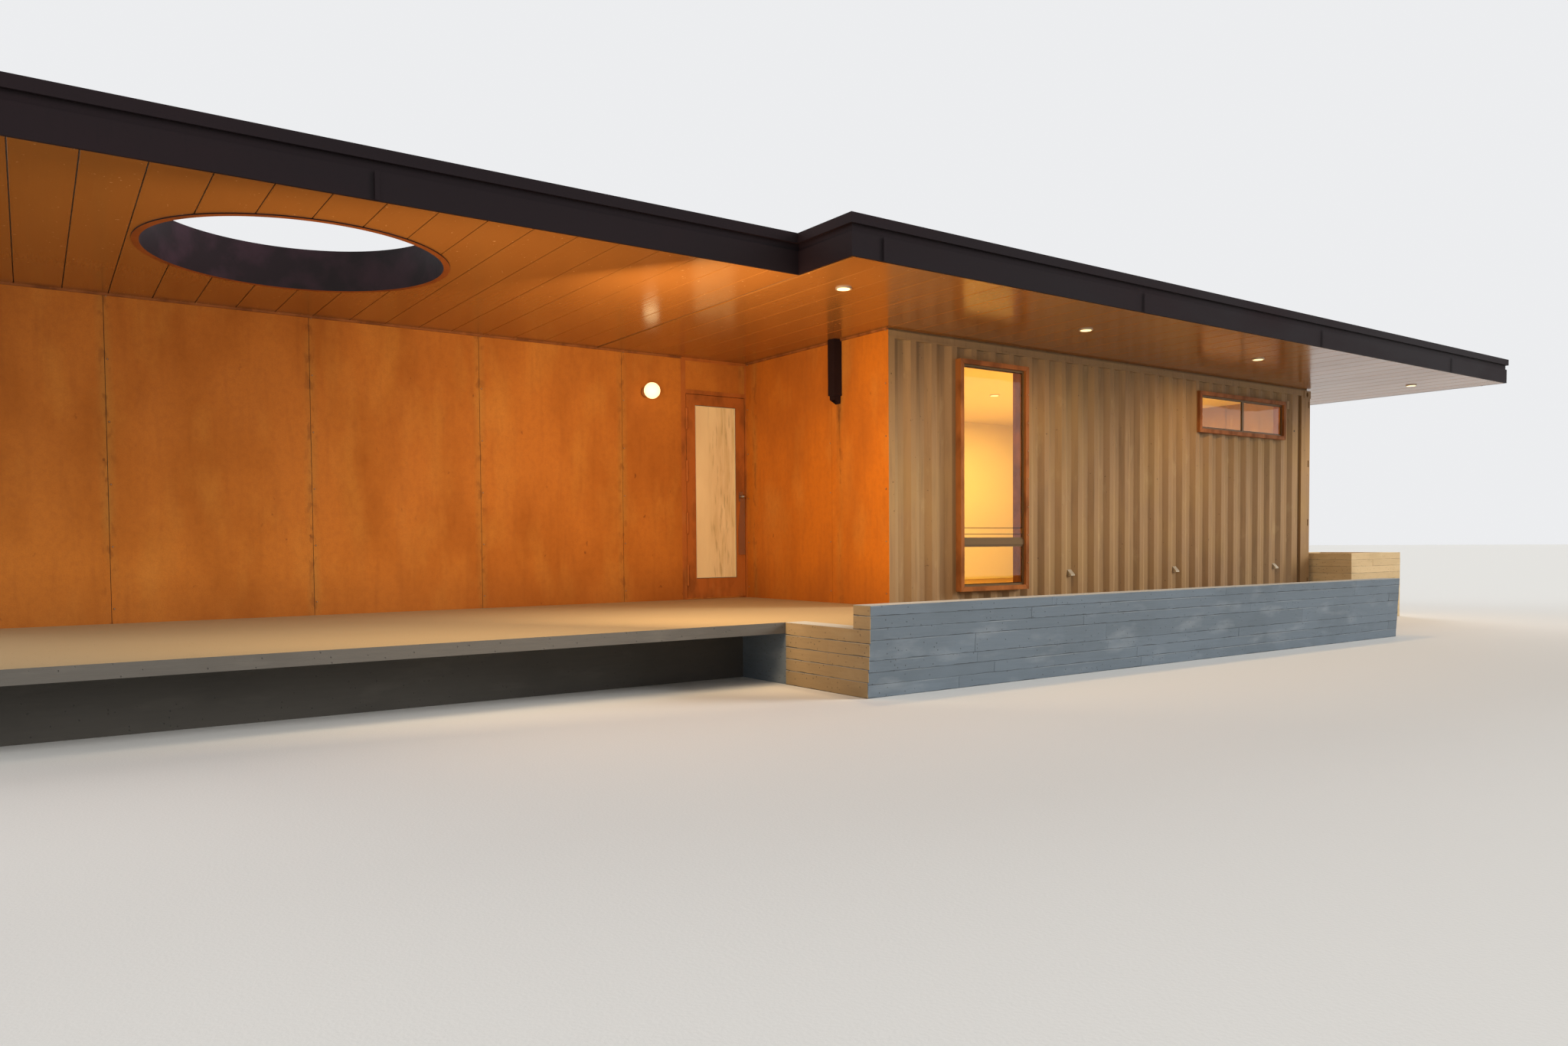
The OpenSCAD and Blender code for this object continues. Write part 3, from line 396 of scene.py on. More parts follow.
@dataclass(frozen=True)
class WeatheredSteel(Finish):
    """Weathering steel sheet left to rust: matt, warm brown, mottled, and paler beside its joints."""

    name: str = "weathering_steel_sheet"
    colour: str = "#BC7228"
    roughness: float = 0.72
    gloss: float = 0.3
    floor: float = 0.48
    damp: float = 0.45
    joint: float = 0.0
    sheet: float = 1.524
    margin: float = 0.07
    axis: str = "X"
    drip: Pair | None = None
    drip_length: float = 0.7
    drip_reach: float = 0.05
    brim: float = 0.03

    def paint(self, on: Surface) -> None:
        """Adds clouds, runs, blots, the bands at the joints, the rust grain and a spout's stain."""
        clouds = on.patches(800, (0.42, 0.64), (1, 1, 1.8))
        pale = on.patches(380, (0.52, 0.72), (1, 1, 2.6), shift=4.2)
        runs = on.patches(70, (0.52, 0.74), (1, 1, 9), 5.0, 8.4)
        mottle = on.patches(45, (0.44, 0.66), (1, 1, 1.3), 8.0, 2.6)
        blots = on.patches(75, (0.72, 0.77), (1, 1, 1.8), 5.0, 15.0)
        # Rust's own grain is about 1 mm, and is drawn coarser to show.
        grain = on.patches(9, (0.35, 0.7), detail=6.0, shift=1.3)
        edge = on.fade(on.to_joint(self.axis, self.joint, self.sheet), 0.0, self.margin)
        faded = on.overlap(edge, on.patches(160, (0.35, 0.6), (1, 1, 4), 4.0, 6.5))
        stained = on.overlap(edge, on.patches(55, (0.54, 0.62), (1, 1, 2.2), 6.0, 2.9))
        coats = [
            ("#95531D", clouds, 0.6),
            ("#CC8B3B", pale, 0.45),
            ("#A98440", faded, 0.4),
            ("#83491C", runs, 0.2),
            ("#8A4E1E", mottle, 0.16),
            ("#6A3A1A", stained, 0.45),
            ("#5F3118", blots, 0.6),
            ("#74401E", on.fade("Z", self.floor, self.floor + self.damp), 0.35),
            ("#7C4522", grain, 0.18),
        ]
        if self.drip:
            at, top = self.drip
            length = on.fade("Z", top, top - self.drip_length), on.fade("Z", top, top + self.brim)
            broken = on.patches(30, (0.3, 0.55), (1, 1, 6))
            wet = on.overlap(*length, on.near(self.axis, at, self.drip_reach), broken)
            coats.append(("#4E2A12", wet, 0.85))
        on.coat(self.colour, *coats)
        on.vary(clouds, self.roughness - 0.1, self.roughness + 0.1)
        on.relief((clouds, 3.0), (grain, 0.5))


@dataclass(frozen=True)
class BoardFormedConcrete(Finish):
    """Concrete cast against sawn boards: matt grey, each board its own tone, ragged joints, pores.

    What faces up is paler: painted light on the tops.
    """

    name: str = "sky_shaded_wall_concrete"
    # Painted shade: these default colours are the cool blue-grey of the wall in front, shaded and lit only
    # by the sky.
    colour: str = "#6E7880"
    roughness: float = 0.82
    dark: str = "#565E63"
    pale: str = "#9DA2A4"
    painted_top_light: str = "#B4B2AA"
    joint: float = 2.0
    ragged: float = 8.0
    fin: Pair = (3.0, 9.0)
    mark: float = 0.6

    def paint(self, on: Surface) -> None:
        """Adds the boards' tones, joints, fins and grain, pores, lime, and painted light on the faces that
        look up.
        """
        tone, height, half = on.board_marks()
        formed = on.add("Math", {"operation": "GREATER_THAN", 1: 0.0}, {0: half})
        from_foot = on.add("Math", {"operation": "ADD"}, {0: half, 1: height})
        from_head = on.add("Math", {"operation": "SUBTRACT"}, {0: half, 1: height})
        teeth = on.patches(26, (0.42, 0.74), (5, 5, 1), 7.0, 4.4)
        worn = on.add("Math", {"operation": "MULTIPLY_ADD", 1: -self.ragged * MM}, {0: teeth, 2: from_foot})
        line = on.fade(worn, 0.0, self.joint * MM)
        joints = on.overlap(line, formed, on.patches(420, (0.3, 0.52), (2, 2, 1), 5.0, 6.1))
        ridge = on.fade(from_head, self.fin[0] * MM, self.fin[1] * MM)
        fins = on.overlap(ridge, formed, on.patches(240, (0.5, 0.62), (3, 3, 1), 5.0, 2.7))
        stains = on.patches(380, (0.48, 0.68), (1.6, 1.6, 1), 6.0, 1.7)
        lime = on.patches(150, (0.56, 0.72), (3, 3, 1), 5.0, 9.2)
        # Pores and the grain of sawn boards are finer than this, and are drawn coarser to show.
        holes = on.pores(34, 6, 0.4)
        grain = on.patches(20, (0.3, 0.7), (12, 12, 1), 6.0, 5.5)
        on.coat(
            self.colour,
            (self.dark, tone, 0.35),
            (self.dark, stains, 0.35),
            (self.pale, lime, 0.3),
            (self.dark, grain, 0.15),
            (self.pale, fins, 0.45),
            ("#34322F", joints, self.mark),
            ("#3F3D3A", holes, 0.6),
            # Painted light: the faces that look up are paler.
            (self.painted_top_light, on.facing((0, 0, 1), 0.7), 0.8),
        )
        on.relief((grain, 0.8), (fins, 1.5), (joints, -4.0), (holes, -2.5))


@dataclass(frozen=True)
class SoffitPaint(Finish):
    """Coil-coated soffit boards, glossy: they mirror the wall below, with specks of dust. Their tan is
    painted warm lamp light on pale boards.
    """

    name: str = "lamplit_soffit_boards"
    # Painted light: this tan stands for warm lamp light on pale boards.
    colour: str = "#935E2B"
    roughness: float = 0.17

    def paint(self, on: Surface) -> None:
        """Adds a tone for each board, a rolled grain along it, and specks drawn coarser than dust."""
        tone = on.board_marks()[0]
        grain = on.patches(18, (0.4, 0.7), (1, 60, 1), 3.0)
        clouds = on.patches(700, (0.4, 0.7), (1, 2, 1), shift=2.2)
        specks = on.patches(24, (0.69, 0.73), (1, 1.6, 1), shift=6.4)
        on.coat(
            self.colour,
            ("#7E5023", tone, 0.35),
            ("#8C5B2A", grain, 0.2),
            ("#865525", clouds, 0.4),
            ("#D2AC74", specks, 0.45),
        )
        on.vary(clouds, self.roughness, self.roughness + 0.05)
        on.relief((grain, 0.15))


@dataclass(frozen=True)
class RustedFrame(Finish):
    """Hot-rolled steel frames, rusted and waxed: brown with darker mill scale and a low sheen."""

    name: str = "waxed_rusty_steel"
    colour: str = "#8C5428"
    roughness: float = 0.55
    gloss: float = 0.35
    scale: str = "#5A3119"

    def paint(self, on: Surface) -> None:
        """Adds mill scale, bright rust and a grain drawn coarser than rust's own."""
        mill = on.patches(170, (0.46, 0.62), (1, 1, 2), 6.0)
        bright = on.patches(90, (0.56, 0.72), (1, 1, 3), 5.0, 4.0)
        on.coat(self.colour, (self.scale, mill, 0.6), ("#AA6A33", bright, 0.55))
        on.vary(mill, self.roughness, self.roughness + 0.16)
        on.relief((on.patches(8, (0.35, 0.7), detail=5.0, shift=2.0), 0.4))


@dataclass(frozen=True)
class RingSteel(Finish):
    """Rolled steel ring: rusty trim below, and a drum under a dark maroon coating inside."""

    name: str = "rolled_ring_steel"
    colour: str = "#170E12"
    roughness: float = 0.55
    gloss: float = 0.25

    def paint(self, on: Surface) -> None:
        """Paints the faces that look down as rust and the rest dark."""
        cloudy = on.patches(240, (0.45, 0.65), detail=5.0)
        below = on.facing((0, 0, -1))
        worn = on.overlap(below, cloudy)
        on.coat(self.colour, ("#33202A", cloudy, 0.5), ("#8A4A20", below, 1.0), ("#5A2E16", worn, 0.5))
        on.relief((cloudy, 1.0))


@dataclass(frozen=True)
class FasciaPaint(Finish):
    """Folded steel fascia with a dark maroon baked coating: smooth, satin, dusty in places."""

    name: str = "maroon_fascia_coating"
    colour: str = "#160D10"
    roughness: float = 0.6
    gloss: float = 0.22

    def paint(self, on: Surface) -> None:
        """Adds dust, faint runs and the slight waves of thin sheet."""
        dust = on.patches(500, (0.45, 0.7), (3, 3, 1))
        runs = on.patches(40, (0.58, 0.74), (1, 1, 8), 3.0, 3.0)
        on.coat(self.colour, ("#261A1C", dust, 0.5), ("#150E11", runs, 0.4))
        on.vary(dust, self.roughness, self.roughness + 0.15)
        on.relief((on.patches(700, (0.3, 0.7), (2, 2, 0.4), 1.0, 7.0), 3.0))


@dataclass(frozen=True)
class WindowGlass(Finish):
    """Float glass: clear, very smooth, with the faint green of its iron."""

    name: str = "float_glass"
    colour: str = "#E6EEEA"
    roughness: float = 0.02

    def paint(self, on: Surface) -> None:
        """Lets the light through and adds a slight waviness."""
        on.give({"Transmission Weight": 1.0, "IOR": 1.45})
        on.relief((on.patches(400, (0.3, 0.7), detail=1.0), 0.4))


@dataclass(frozen=True)
class FrostedGlass(Finish):
    """Acid-etched glass with a thin cloth behind it: cream and soft, with upright folds that show olive."""

    name: str = "etched_glass"
    colour: str = "#EBD7A8"
    roughness: float = 0.42
    left: float = 0.0
    width: float = 1.0
    cloth: Pair = (0.30, 0.48)
    hems: Pair = (0.70, 0.87)
    hem: float = 4 * MM

    def paint(self, on: Surface) -> None:
        """Adds the cloth's flowing folds, hems and haze, which lie to the right."""
        bare, full = (self.left + share * self.width for share in self.cloth)
        cloth = on.fade("X", full, bare)
        flow = on.overlap(on.patches(75, (0.42, 0.66), (1, 1, 6), 3.0, 6.6), cloth)
        folds = on.overlap(on.patches(28, (0.55, 0.66), (1, 1, 9), 4.0, 3.9), cloth)
        haze = on.patches(260, (0.4, 0.7), (1, 1, 3), 3.0, 2.2)
        places = (self.left + share * self.width for share in self.hems)
        hems = [("#F6E9C4", on.near("X", place, self.hem), 0.7) for place in places]
        on.coat(self.colour, ("#CDB083", haze, 0.35), ("#B39B5E", flow, 0.4), ("#8A7844", folds, 0.4), *hems)
        on.give({"Coat Weight": 0.6, "Coat Roughness": 0.08})


@dataclass(frozen=True)
class SheathedWall(Finish):
    """A stud wall: painted plaster inside, and black breather paper on the side behind the steel sheets."""

    name: str = "sheathed_wall_front"
    colour: str = "#E2D9C6"
    roughness: float = 0.7
    outward: Triple = (0.0, -1.0, 0.0)

    def paint(self, on: Surface) -> None:
        """Papers the side that faces outward."""
        on.coat(self.colour, ("#1B1918", on.facing(self.outward), 1.0))


@dataclass(frozen=True)
class RoofMembrane(Finish):
    """Mineral-faced roofing felt: matt grey granules, darker where water stands."""

    name: str = "mineral_roofing_felt"
    colour: str = "#8C8A86"
    roughness: float = 0.92

    def paint(self, on: Surface) -> None:
        """Adds puddle marks and granules, drawn coarser than the real 1 mm ones."""
        puddles = on.patches(1300, (0.5, 0.6), detail=3.0)
        granules = on.patches(14, (0.35, 0.7), detail=4.0, shift=2.0)
        on.coat(self.colour, ("#6F6D69", puddles, 0.5), ("#A7A5A0", granules, 0.4))
        on.relief((granules, 0.8))


@dataclass(frozen=True)
class FloorOak(Finish):
    """Oiled oak floorboards, 140 mm wide: warm brown with grain along the board."""

    name: str = "oiled_oak_floor"
    colour: str = "#96714A"
    roughness: float = 0.45
    board: float = 0.14
    length: float = 1.9
    storey: float = 9.0
    joint: float = 2 * MM

    def paint(self, on: Surface) -> None:
        """Adds a tone for each board, its joints and its grain, drawn coarser than oak's own."""
        cell = {"operation": "SNAP", 1: (self.length, self.board, self.storey)}
        board = on.add("VectorMath", cell, {0: on.place()})
        tone = on.add("TexWhiteNoise", {"noise_dimensions": "3D"}, {0: board})
        away = on.to_joint("Y", 0.0, self.board)
        joint = on.add("Math", {"operation": "LESS_THAN", 1: self.joint}, {0: away})
        grain = on.patches(14, (0.4, 0.7), (30, 1, 1), 4.0)
        on.coat(self.colour, ("#7A5733", tone, 0.5), ("#6B4B2C", grain, 0.4), ("#2E2015", joint, 0.8))
        on.relief((grain, 0.4))


@dataclass(frozen=True)
class LampGlass(Finish):
    """Opal lamp glass, lit from inside: even, warm white."""

    name: str = "lit_opal_glass"
    colour: str = "#FFF1D2"
    roughness: float = 0.3
    glow: float = 1.6

    def paint(self, on: Surface) -> None:
        """Makes the glass glow."""
        on.give({"Emission Color": linear("#FFDFA0"), "Emission Strength": self.glow})


PAINT = ContainerPaint()
# A joint of each wall's sheets is placed in the frame, along the axis that the wall runs along.
WEATHERED = WeatheredSteel(joint=-2.008)
END_WEATHERED = WeatheredSteel(
    "weathering_steel_end", "#C4701C", joint=-0.913, axis="Y", drip=(-0.907, 2.47)
)
WING_WEATHERED = WeatheredSteel("weathering_steel_wing", joint=2.179, axis="Y")
# Painted light and shade: painted lamp light warms the side wall and the planter, and painted sky shade
# cools the wall in front.
SKY_SHADED_WALL_CONCRETE = BoardFormedConcrete()
LAMPLIT_SIDE_CONCRETE = BoardFormedConcrete(
    "lamplit_side_concrete", "#AA8F68", dark="#7E6A4C", pale="#C4AD85", mark=0.75
)
LAMPLIT_PLANTER_CONCRETE = BoardFormedConcrete(
    "lamplit_planter_concrete", "#CBB188", dark="#A18A64", pale="#DCCAA2", painted_top_light="#CDBB97", joint=1.5, mark=0.45
)
# Painted shade: the foundation under the slab is dark because the slab shades it.
SHADED_FOUNDATION_CONCRETE = BoardFormedConcrete(
    "shaded_foundation_concrete", "#4E4A44", dark="#3F3C37", pale="#645F57", painted_top_light="#6A675F", mark=0.3
)
# Painted shade and light: the slab's upright edge is dark with painted shade, and its top is warm and pale
# with painted lamp light.
SLAB_CONCRETE_SHADED_EDGE = BoardFormedConcrete(
    "trowelled_slab_shaded_edge", "#5F5A53", dark="#4A4640", pale="#7C766B", painted_top_light="#B39B72"
)
LAMPLIT_SOFFIT = SoffitPaint()
FRAMES = RustedFrame()
DOOR_STEEL = RustedFrame("waxed_door_steel", "#A65E26", scale="#70401C")
RING = RingSteel()
FASCIA = FasciaPaint()
GLASS = WindowGlass()
FROSTED = FrostedGlass(left=-1.117, width=0.532)
MEMBRANE = RoofMembrane()
OAK = FloorOak()
LAMP = LampGlass()
PORCH_WALL = SheathedWall()
END_WALL = SheathedWall("sheathed_wall_end", outward=(-1.0, 0.0, 0.0))
# Emulsion paint rolled on plaster: matt and even.
LINING = Finish("painted_plaster_lining", "#E2D9C6", 0.7)
# Stainless steel, brushed: bright, with soft highlights.
STEEL = Finish("brushed_stainless_steel", "#B9B4AA", 0.34, 1.0)
# Aluminium, extruded and anodised bronze: brown, smooth and barely metallic.
BRONZE = Finish("bronze_anodised_aluminium", "#6E5637", 0.38, 0.35)
# Steel, pressed and zinc plated: pale, with a soft shine.
ZINC = Finish("zinc_plated_lights", "#C9BFA9", 0.4, 0.6)
# Zinc plated screws, dulled by weather.
SCREW = Finish("dull_screw_heads", "#A08E72", 0.5, 0.5)
# Painted timber bead, planed: pale and satin.
BEAD = Finish("pale_glazing_bead", "#CFC3A4", 0.5)
# Rubber, extruded: black and matt.
RUBBER = Finish("black_rubber_gasket", "#1D1B1A", 0.6)
# Floor paint, rolled: pale and flat.
STAGE = Finish("pale_stage", "#D9D7D2", 0.9)

NODE_FINISHES: dict[Finish, tuple[str, ...]] = {
    SLAB_CONCRETE_SHADED_EDGE: ("porch_slab",),
    SKY_SHADED_WALL_CONCRETE: ("terrace_walls",),
    SHADED_FOUNDATION_CONCRETE: ("foundations",),
    LAMPLIT_PLANTER_CONCRETE: ("end_planter",),
    OAK: ("house_floor",),
    PAINT: ("front_wall", "back_wall", "container_rails", "corner_posts", "cargo_doors", "lock_rods"),
    LINING: ("wall_linings", "ceiling"),
    PORCH_WALL: ("porch_wall",),
    END_WALL: ("cabin_end_wall", "wing_end_wall"),
    WEATHERED: ("porch_sheets", "transom_panel"),
    END_WEATHERED: ("cabin_end_sheets",),
    WING_WEATHERED: ("wing_end_sheets",),
    FRAMES: ("tall_window_frame", "wide_window_frame", "wall_light"),
    DOOR_STEEL: ("door_frame", "door_leaf", "jamb_hinges", "leaf_hinges"),
    RING: ("roof_ring",),
    GLASS: ("window_panes",),
    FROSTED: ("door_glass",),
    STEEL: ("door_handle",),
    BRONZE: ("window_sashes",),
    MEMBRANE: ("porch_roof", "cabin_roof"),
    LAMPLIT_SOFFIT: ("porch_soffit", "cabin_soffit"),
    FASCIA: (
        *(f"{side}_fascia" for side in ("porch", "step", "cabin", "right", "back", "left")), "downspout",
    ),
    LAMP: ("light_globe",),
    ZINC: ("downlights", "path_lights"),
}


def deselect() -> None:
    """Leaves nothing selected, so that the next operator acts on new work alone."""
    bpy.ops.object.select_all(action="DESELECT")


def select_only(pieces: Sequence[Piece]) -> None:
    """Selects some objects and makes the first one active.

    Args:
        pieces: The objects, of which there is at least one.
    """
    deselect()
    for piece in pieces:
        piece.select_set(True)
    bpy.context.view_layer.objects.active = pieces[0]


def add_object(name: str, data: bpy.types.ID) -> Piece:
    """Puts a mesh, lamp or camera into the scene.

    Args:
        name: The object's name.
        data: What the object shows.

    Returns:
        The new object.
    """
    made = bpy.data.objects.new(name, data)
    bpy.context.scene.collection.objects.link(made)
    return made


def dress(piece: Piece, finish: Finish) -> None:
    """Puts one finish on the whole of an object."""
    piece.data.materials.clear()
    piece.data.materials.append(finish.material())


def settle(
    name: str, pieces: Sequence[Piece], finish: Finish, body: Body = Body.CABIN
) -> Piece:
    """Joins what belongs together into one finished piece.

    Args:
        name: The piece's name.
        pieces: The objects that it is made of.
        finish: What it is painted with.
        body: The body that the piece rides on.

    Returns:
        The piece, with its object at the origin.
    """
    select_only(pieces)
    if len(pieces) > 1:
        bpy.ops.object.join()
    piece = bpy.context.view_layer.objects.active
    piece.name = piece.data.name = name
    bpy.ops.object.transform_apply(location=True, rotation=True, scale=True)
    dress(piece, finish)
    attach(piece, body.value)
    LOG.info("%s: %d faces", name, len(piece.data.polygons))
    return piece


class Strip:
    """A small bevelled block, modelled once, and stretched for each board, strip or bar."""

    def __init__(self, bevel: float) -> None:
        """Models the block.

        Args:
            bevel: Width of the bevel on all its edges.
        """
        self.half = 3 * bevel
        deselect()
        bpy.ops.mesh.primitive_cube_add(size=2 * self.half)
        block = bpy.context.active_object
        bpy.ops.object.mode_set(mode="EDIT")
        bpy.ops.mesh.select_all(action="SELECT")
        bpy.ops.mesh.bevel(offset=bevel, segments=1, affect="EDGES")
        bpy.ops.object.mode_set(mode="OBJECT")
        self.mesh = block.data
        bpy.data.objects.remove(block)

    def cut(self, size: Sequence[float], place: Matrix, tone: float = 0.0) -> Piece:
        """Makes a copy of a given size.

        Args:
            size: Length, depth and height of the copy.
            place: Where its middle goes, and how it is turned.
            tone: What the copy's finish makes darker, from 0 to 1.

        Returns:
            The new object. Its mesh keeps the tone, each point's height and the half height for the finish.
        """
        mesh = self.mesh.copy()
        marks = mesh.attributes.new(BOARD, "FLOAT_VECTOR", "POINT")
        for vertex, mark in zip(mesh.vertices, marks.data):
            for axis in range(3):
                side = math.copysign(1, vertex.co[axis])
                vertex.co[axis] += side * (size[axis] / 2 - self.half)
            mark.vector = tone, vertex.co.z, size[2] / 2
        mesh.transform(place)
        return add_object("strip", mesh)

    def between(self, low: Sequence[float], high: Sequence[float], tone: float = 0.0) -> Piece:
        """Makes an upright copy between two opposite corners."""
        low, high = Vector(low), Vector(high)
        return self.cut(high - low, Matrix.Translation((low + high) / 2), tone)


@dataclass
class Site:
    """Where the house stands in the frame: its corner is the front container's, at porch floor level."""

    x: float = field(init=False)
    y: float = field(init=False)
    z: float = field(init=False)

    def __post_init__(self) -> None:
        """Reads the corner from the frame."""
        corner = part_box("front_wall")[0]
        self.x, self.y = corner.x, corner.y
        self.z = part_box("house_floor")[1].z

    def at(self, x: float, y: float, z: float) -> Vector:
        """A place given from the house's corner, as a place in the frame."""
        return Vector((self.x + x, self.y + y, self.z + z))


@dataclass
class Viewpoint:
    """The camera at the photograph's place, given from the house's corner; its angles are degrees."""

    site: Site
    place: Triple = (-6.6725, -7.6353, 0.6058)
    yaw: float = 35.4694
    pitch: float = -1.8689
    roll: float = -0.4222
    lens: float = 24.336
    shift: float = 0.0352
    sensor: float = 36.0
    farthest: float = 300.0

    def build(self) -> None:
        """Makes the scene's camera."""
        yaw, pitch, roll = (math.radians(a) for a in (self.yaw, self.pitch, self.roll))
        ahead = Vector((math.sin(yaw), math.cos(yaw), 0))
        side = Vector((math.cos(yaw), -math.sin(yaw), 0))
        look = ahead * math.cos(pitch) + Z_AXIS * math.sin(pitch)
        above = Z_AXIS * math.cos(pitch) - ahead * math.sin(pitch)
        right = side * math.cos(roll) + above * math.sin(roll)
        up = above * math.cos(roll) - side * math.sin(roll)
        data = bpy.data.cameras.new("camera")
        data.lens, data.sensor_width, data.shift_y = self.lens, self.sensor, self.shift
        data.clip_end = self.farthest
        camera = add_object("camera", data)
        turn = Matrix((right, up, -look)).transposed().to_4x4()
        camera.matrix_world = Matrix.Translation(self.site.at(*self.place)) @ turn
        bpy.context.scene.camera = camera
        LOG.info("camera set")


@dataclass(frozen=True)
class FarLamp:
    """A far soft lamp: where it stands from the house, its strength and its width in degrees."""

    name: str
    direction: Triple
    strength: float
    width: float


@dataclass(frozen=True)
class SoftBox:
    """A soft lamp close to the house: its place, the point it looks at, its size, strength and colour."""

    name: str
    place: Triple
    target: Triple
    size: Pair
    power: float
    colour: str


# Where the light of each downlight under the roof comes from, measured from the house's corner.
DOWNLIGHTS_X = (-1.323, 1.657, 4.637, 8.290)
DOWNLIGHTS_Y = -0.975

FAR_LAMPS = (
    FarLamp("right_key", (0.85, -0.52, 0.30), 3.6, 25),
    FarLamp("left_back_fill", (-0.60, 0.75, 0.30), 1.4, 40),
    FarLamp("right_back_fill", (0.45, 0.82, 0.45), 1.4, 40),
)
SOFT_BOXES = (
    SoftBox("end_wall_box", (-2.9, -0.9, 1.6), (0.0, 1.0, 1.5), (1.6, 1.4), 84, "#FFE0B4"),
    SoftBox("porch_box", (-4.6, -1.4, 1.5), (-4.0, 1.8, 1.1), (3.0, 1.2), 50, "#FFE0B4"),
    SoftBox("side_wall_box", (-4.6, -1.9, 1.5), (-1.9, -1.5, -0.2), (1.6, 1.2), 9, "#FFDDB0"),
    *(
        SoftBox(
            f"downlight_box_{k}", (x, DOWNLIGHTS_Y, 2.55), (x, DOWNLIGHTS_Y, 0.0), (0.3, 0.3), 20, "#FFD79A"
        )
        for k, x in enumerate(DOWNLIGHTS_X, 1)
    ),
    SoftBox("room_ceiling_box", (3.8, 2.2, 0.9), (3.8, 2.2, 2.5), (6.0, 3.4), 115, "#FFBE50"),
    SoftBox("front_room_box", (3.8, 2.2, 2.5), (3.8, 2.2, 0.0), (6.0, 3.4), 400, "#FFC257"),
)


@dataclass
class Studio:
    """Plain pale floor and soft light."""

    site: Site
    floor_size: float = 400.0
    sky: float = 0.5
    backdrop: float = 0.93

    def build(self) -> None:
        """Makes the floor, the sky and the lamps."""
        deselect()
        bpy.ops.mesh.primitive_plane_add(size=self.floor_size)
        floor = bpy.context.active_object
        floor.name = "stage_floor"
        dress(floor, STAGE)
        self.light_sky()
        for lamp in FAR_LAMPS:
            data = bpy.data.lights.new(lamp.name, "SUN")
            data.energy, data.angle = lamp.strength, math.radians(lamp.width)
            self.hang(data, Vector(), -Vector(lamp.direction))
        for box in SOFT_BOXES:
            data = bpy.data.lights.new(box.name, "AREA")
            data.shape, data.size, data.size_y = "RECTANGLE", *box.size
            data.energy, data.color = box.power, linear(box.colour)[:3]
            self.hang(data, self.site.at(*box.place), Vector(box.target) - Vector(box.place))
        bpy.context.scene.view_settings.view_transform = "Standard"
        LOG.info("studio set")

    def light_sky(self) -> None:
        """Makes a sky that is brighter where it is seen, mirrored or looked at through glass."""
        world = bpy.data.worlds.new("studio")
        world.use_nodes = True
        bpy.context.scene.world = world
        sky = Surface(world.node_tree, world.node_tree.nodes["Background"])
        rays = sky.add("LightPath").node.outputs
        seen = rays["Is Camera Ray"]
        for kind in ("Is Transmission Ray", "Is Glossy Ray"):
            seen = sky.add("Math", {"operation": "MAXIMUM"}, {0: seen, 1: rays[kind]})
        strength = sky.add("MapRange", {"To Min": self.sky, "To Max": self.backdrop}, {"Value": seen})
        sky.give({"Color": linear("#F4F5F7")})
        sky.tree.links.new(strength, sky.shader.inputs["Strength"])

    def hang(self, data: bpy.types.Light, place: Vector, toward: Vector) -> None:
        """Puts a lamp into the scene; glass and gloss don't mirror it.

        Args:
            data: The lamp's data.
            place: Where it hangs.
            toward: The direction it shines in.
        """
        lamp = add_object(data.name, data)
        lamp.location = place
        lamp.rotation_mode = "QUATERNION"
        lamp.rotation_quaternion = toward.to_track_quat("-Z", "Y")
        lamp.visible_camera = lamp.visible_glossy = lamp.visible_transmission = False


@dataclass
class SoffitBoards:
    """The boards under the roof, which run from front to back."""

    site: Site
    pitch: float = 0.305
    gap: float = 6 * MM
    narrowest: float = 30 * MM
    thickness: float = 14 * MM
    bevel: float = 2 * MM
    hole_margin: float = 20 * MM
    hole_sides: int = 96
    seed: int = 5

    def build(self) -> None:
        """Boards both soffits and cuts the round opening."""
        strip = Strip(self.bevel)
        dice = random.Random(self.seed)
        for node in ("porch_soffit", "cabin_soffit"):
            low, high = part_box(node)
            top = low.z + self.thickness
            joint = math.floor((low.x - self.site.x) / self.pitch) * self.pitch + self.site.x + self.pitch
            edges = [low.x]
            while joint < high.x - 2 * self.gap:
                edges.append(joint)
                joint += self.pitch
            edges.append(high.x)
            boards = [
                strip.between((a, low.y, low.z), (b - self.gap, high.y, top), dice.random())
                for a, b in zip(edges, edges[1:])
                if b - a > self.narrowest
            ]
            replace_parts(settle(node + "_boards", boards, LAMPLIT_SOFFIT), node)
        self.open_ring(bpy.data.objects["porch_soffit_boards"])

    def open_ring(self, boards: Piece) -> None:
        """Cuts the round roof opening out of the boards.

        Args:
            boards: The boards of the porch.
        """
        low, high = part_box("roof_ring")
        radius = (high.x - low.x) / 2 - self.hole_margin
        deselect()
        bpy.ops.mesh.primitive_cylinder_add(
            vertices=self.hole_sides, radius=radius, depth=1, location=(low + high) / 2
        )
        cutter = bpy.context.active_object
        select_only([boards])
        cut = boards.modifiers.new("opening", "BOOLEAN")
        cut.operation, cut.object, cut.solver = "DIFFERENCE", cutter, "EXACT"
        bpy.ops.object.modifier_apply(modifier=cut.name)
        bpy.data.objects.remove(cutter)


@dataclass
class FormFace:
    """One upright face of cast concrete, as seen from outside, with the joints' depths below its top.

    A face that leans has its foot set back by lean. The ends say how far the foot is set back
    along the face at its start and at its end.
    """

    name: str
    corner: Triple
    along: Vector
    length: float
    height: float
    finish: Finish = SKY_SHADED_WALL_CONCRETE
    lean: float = 0.0
    ends: Pair = (0.0, 0.0)
    joints: tuple[float, ...] = ()


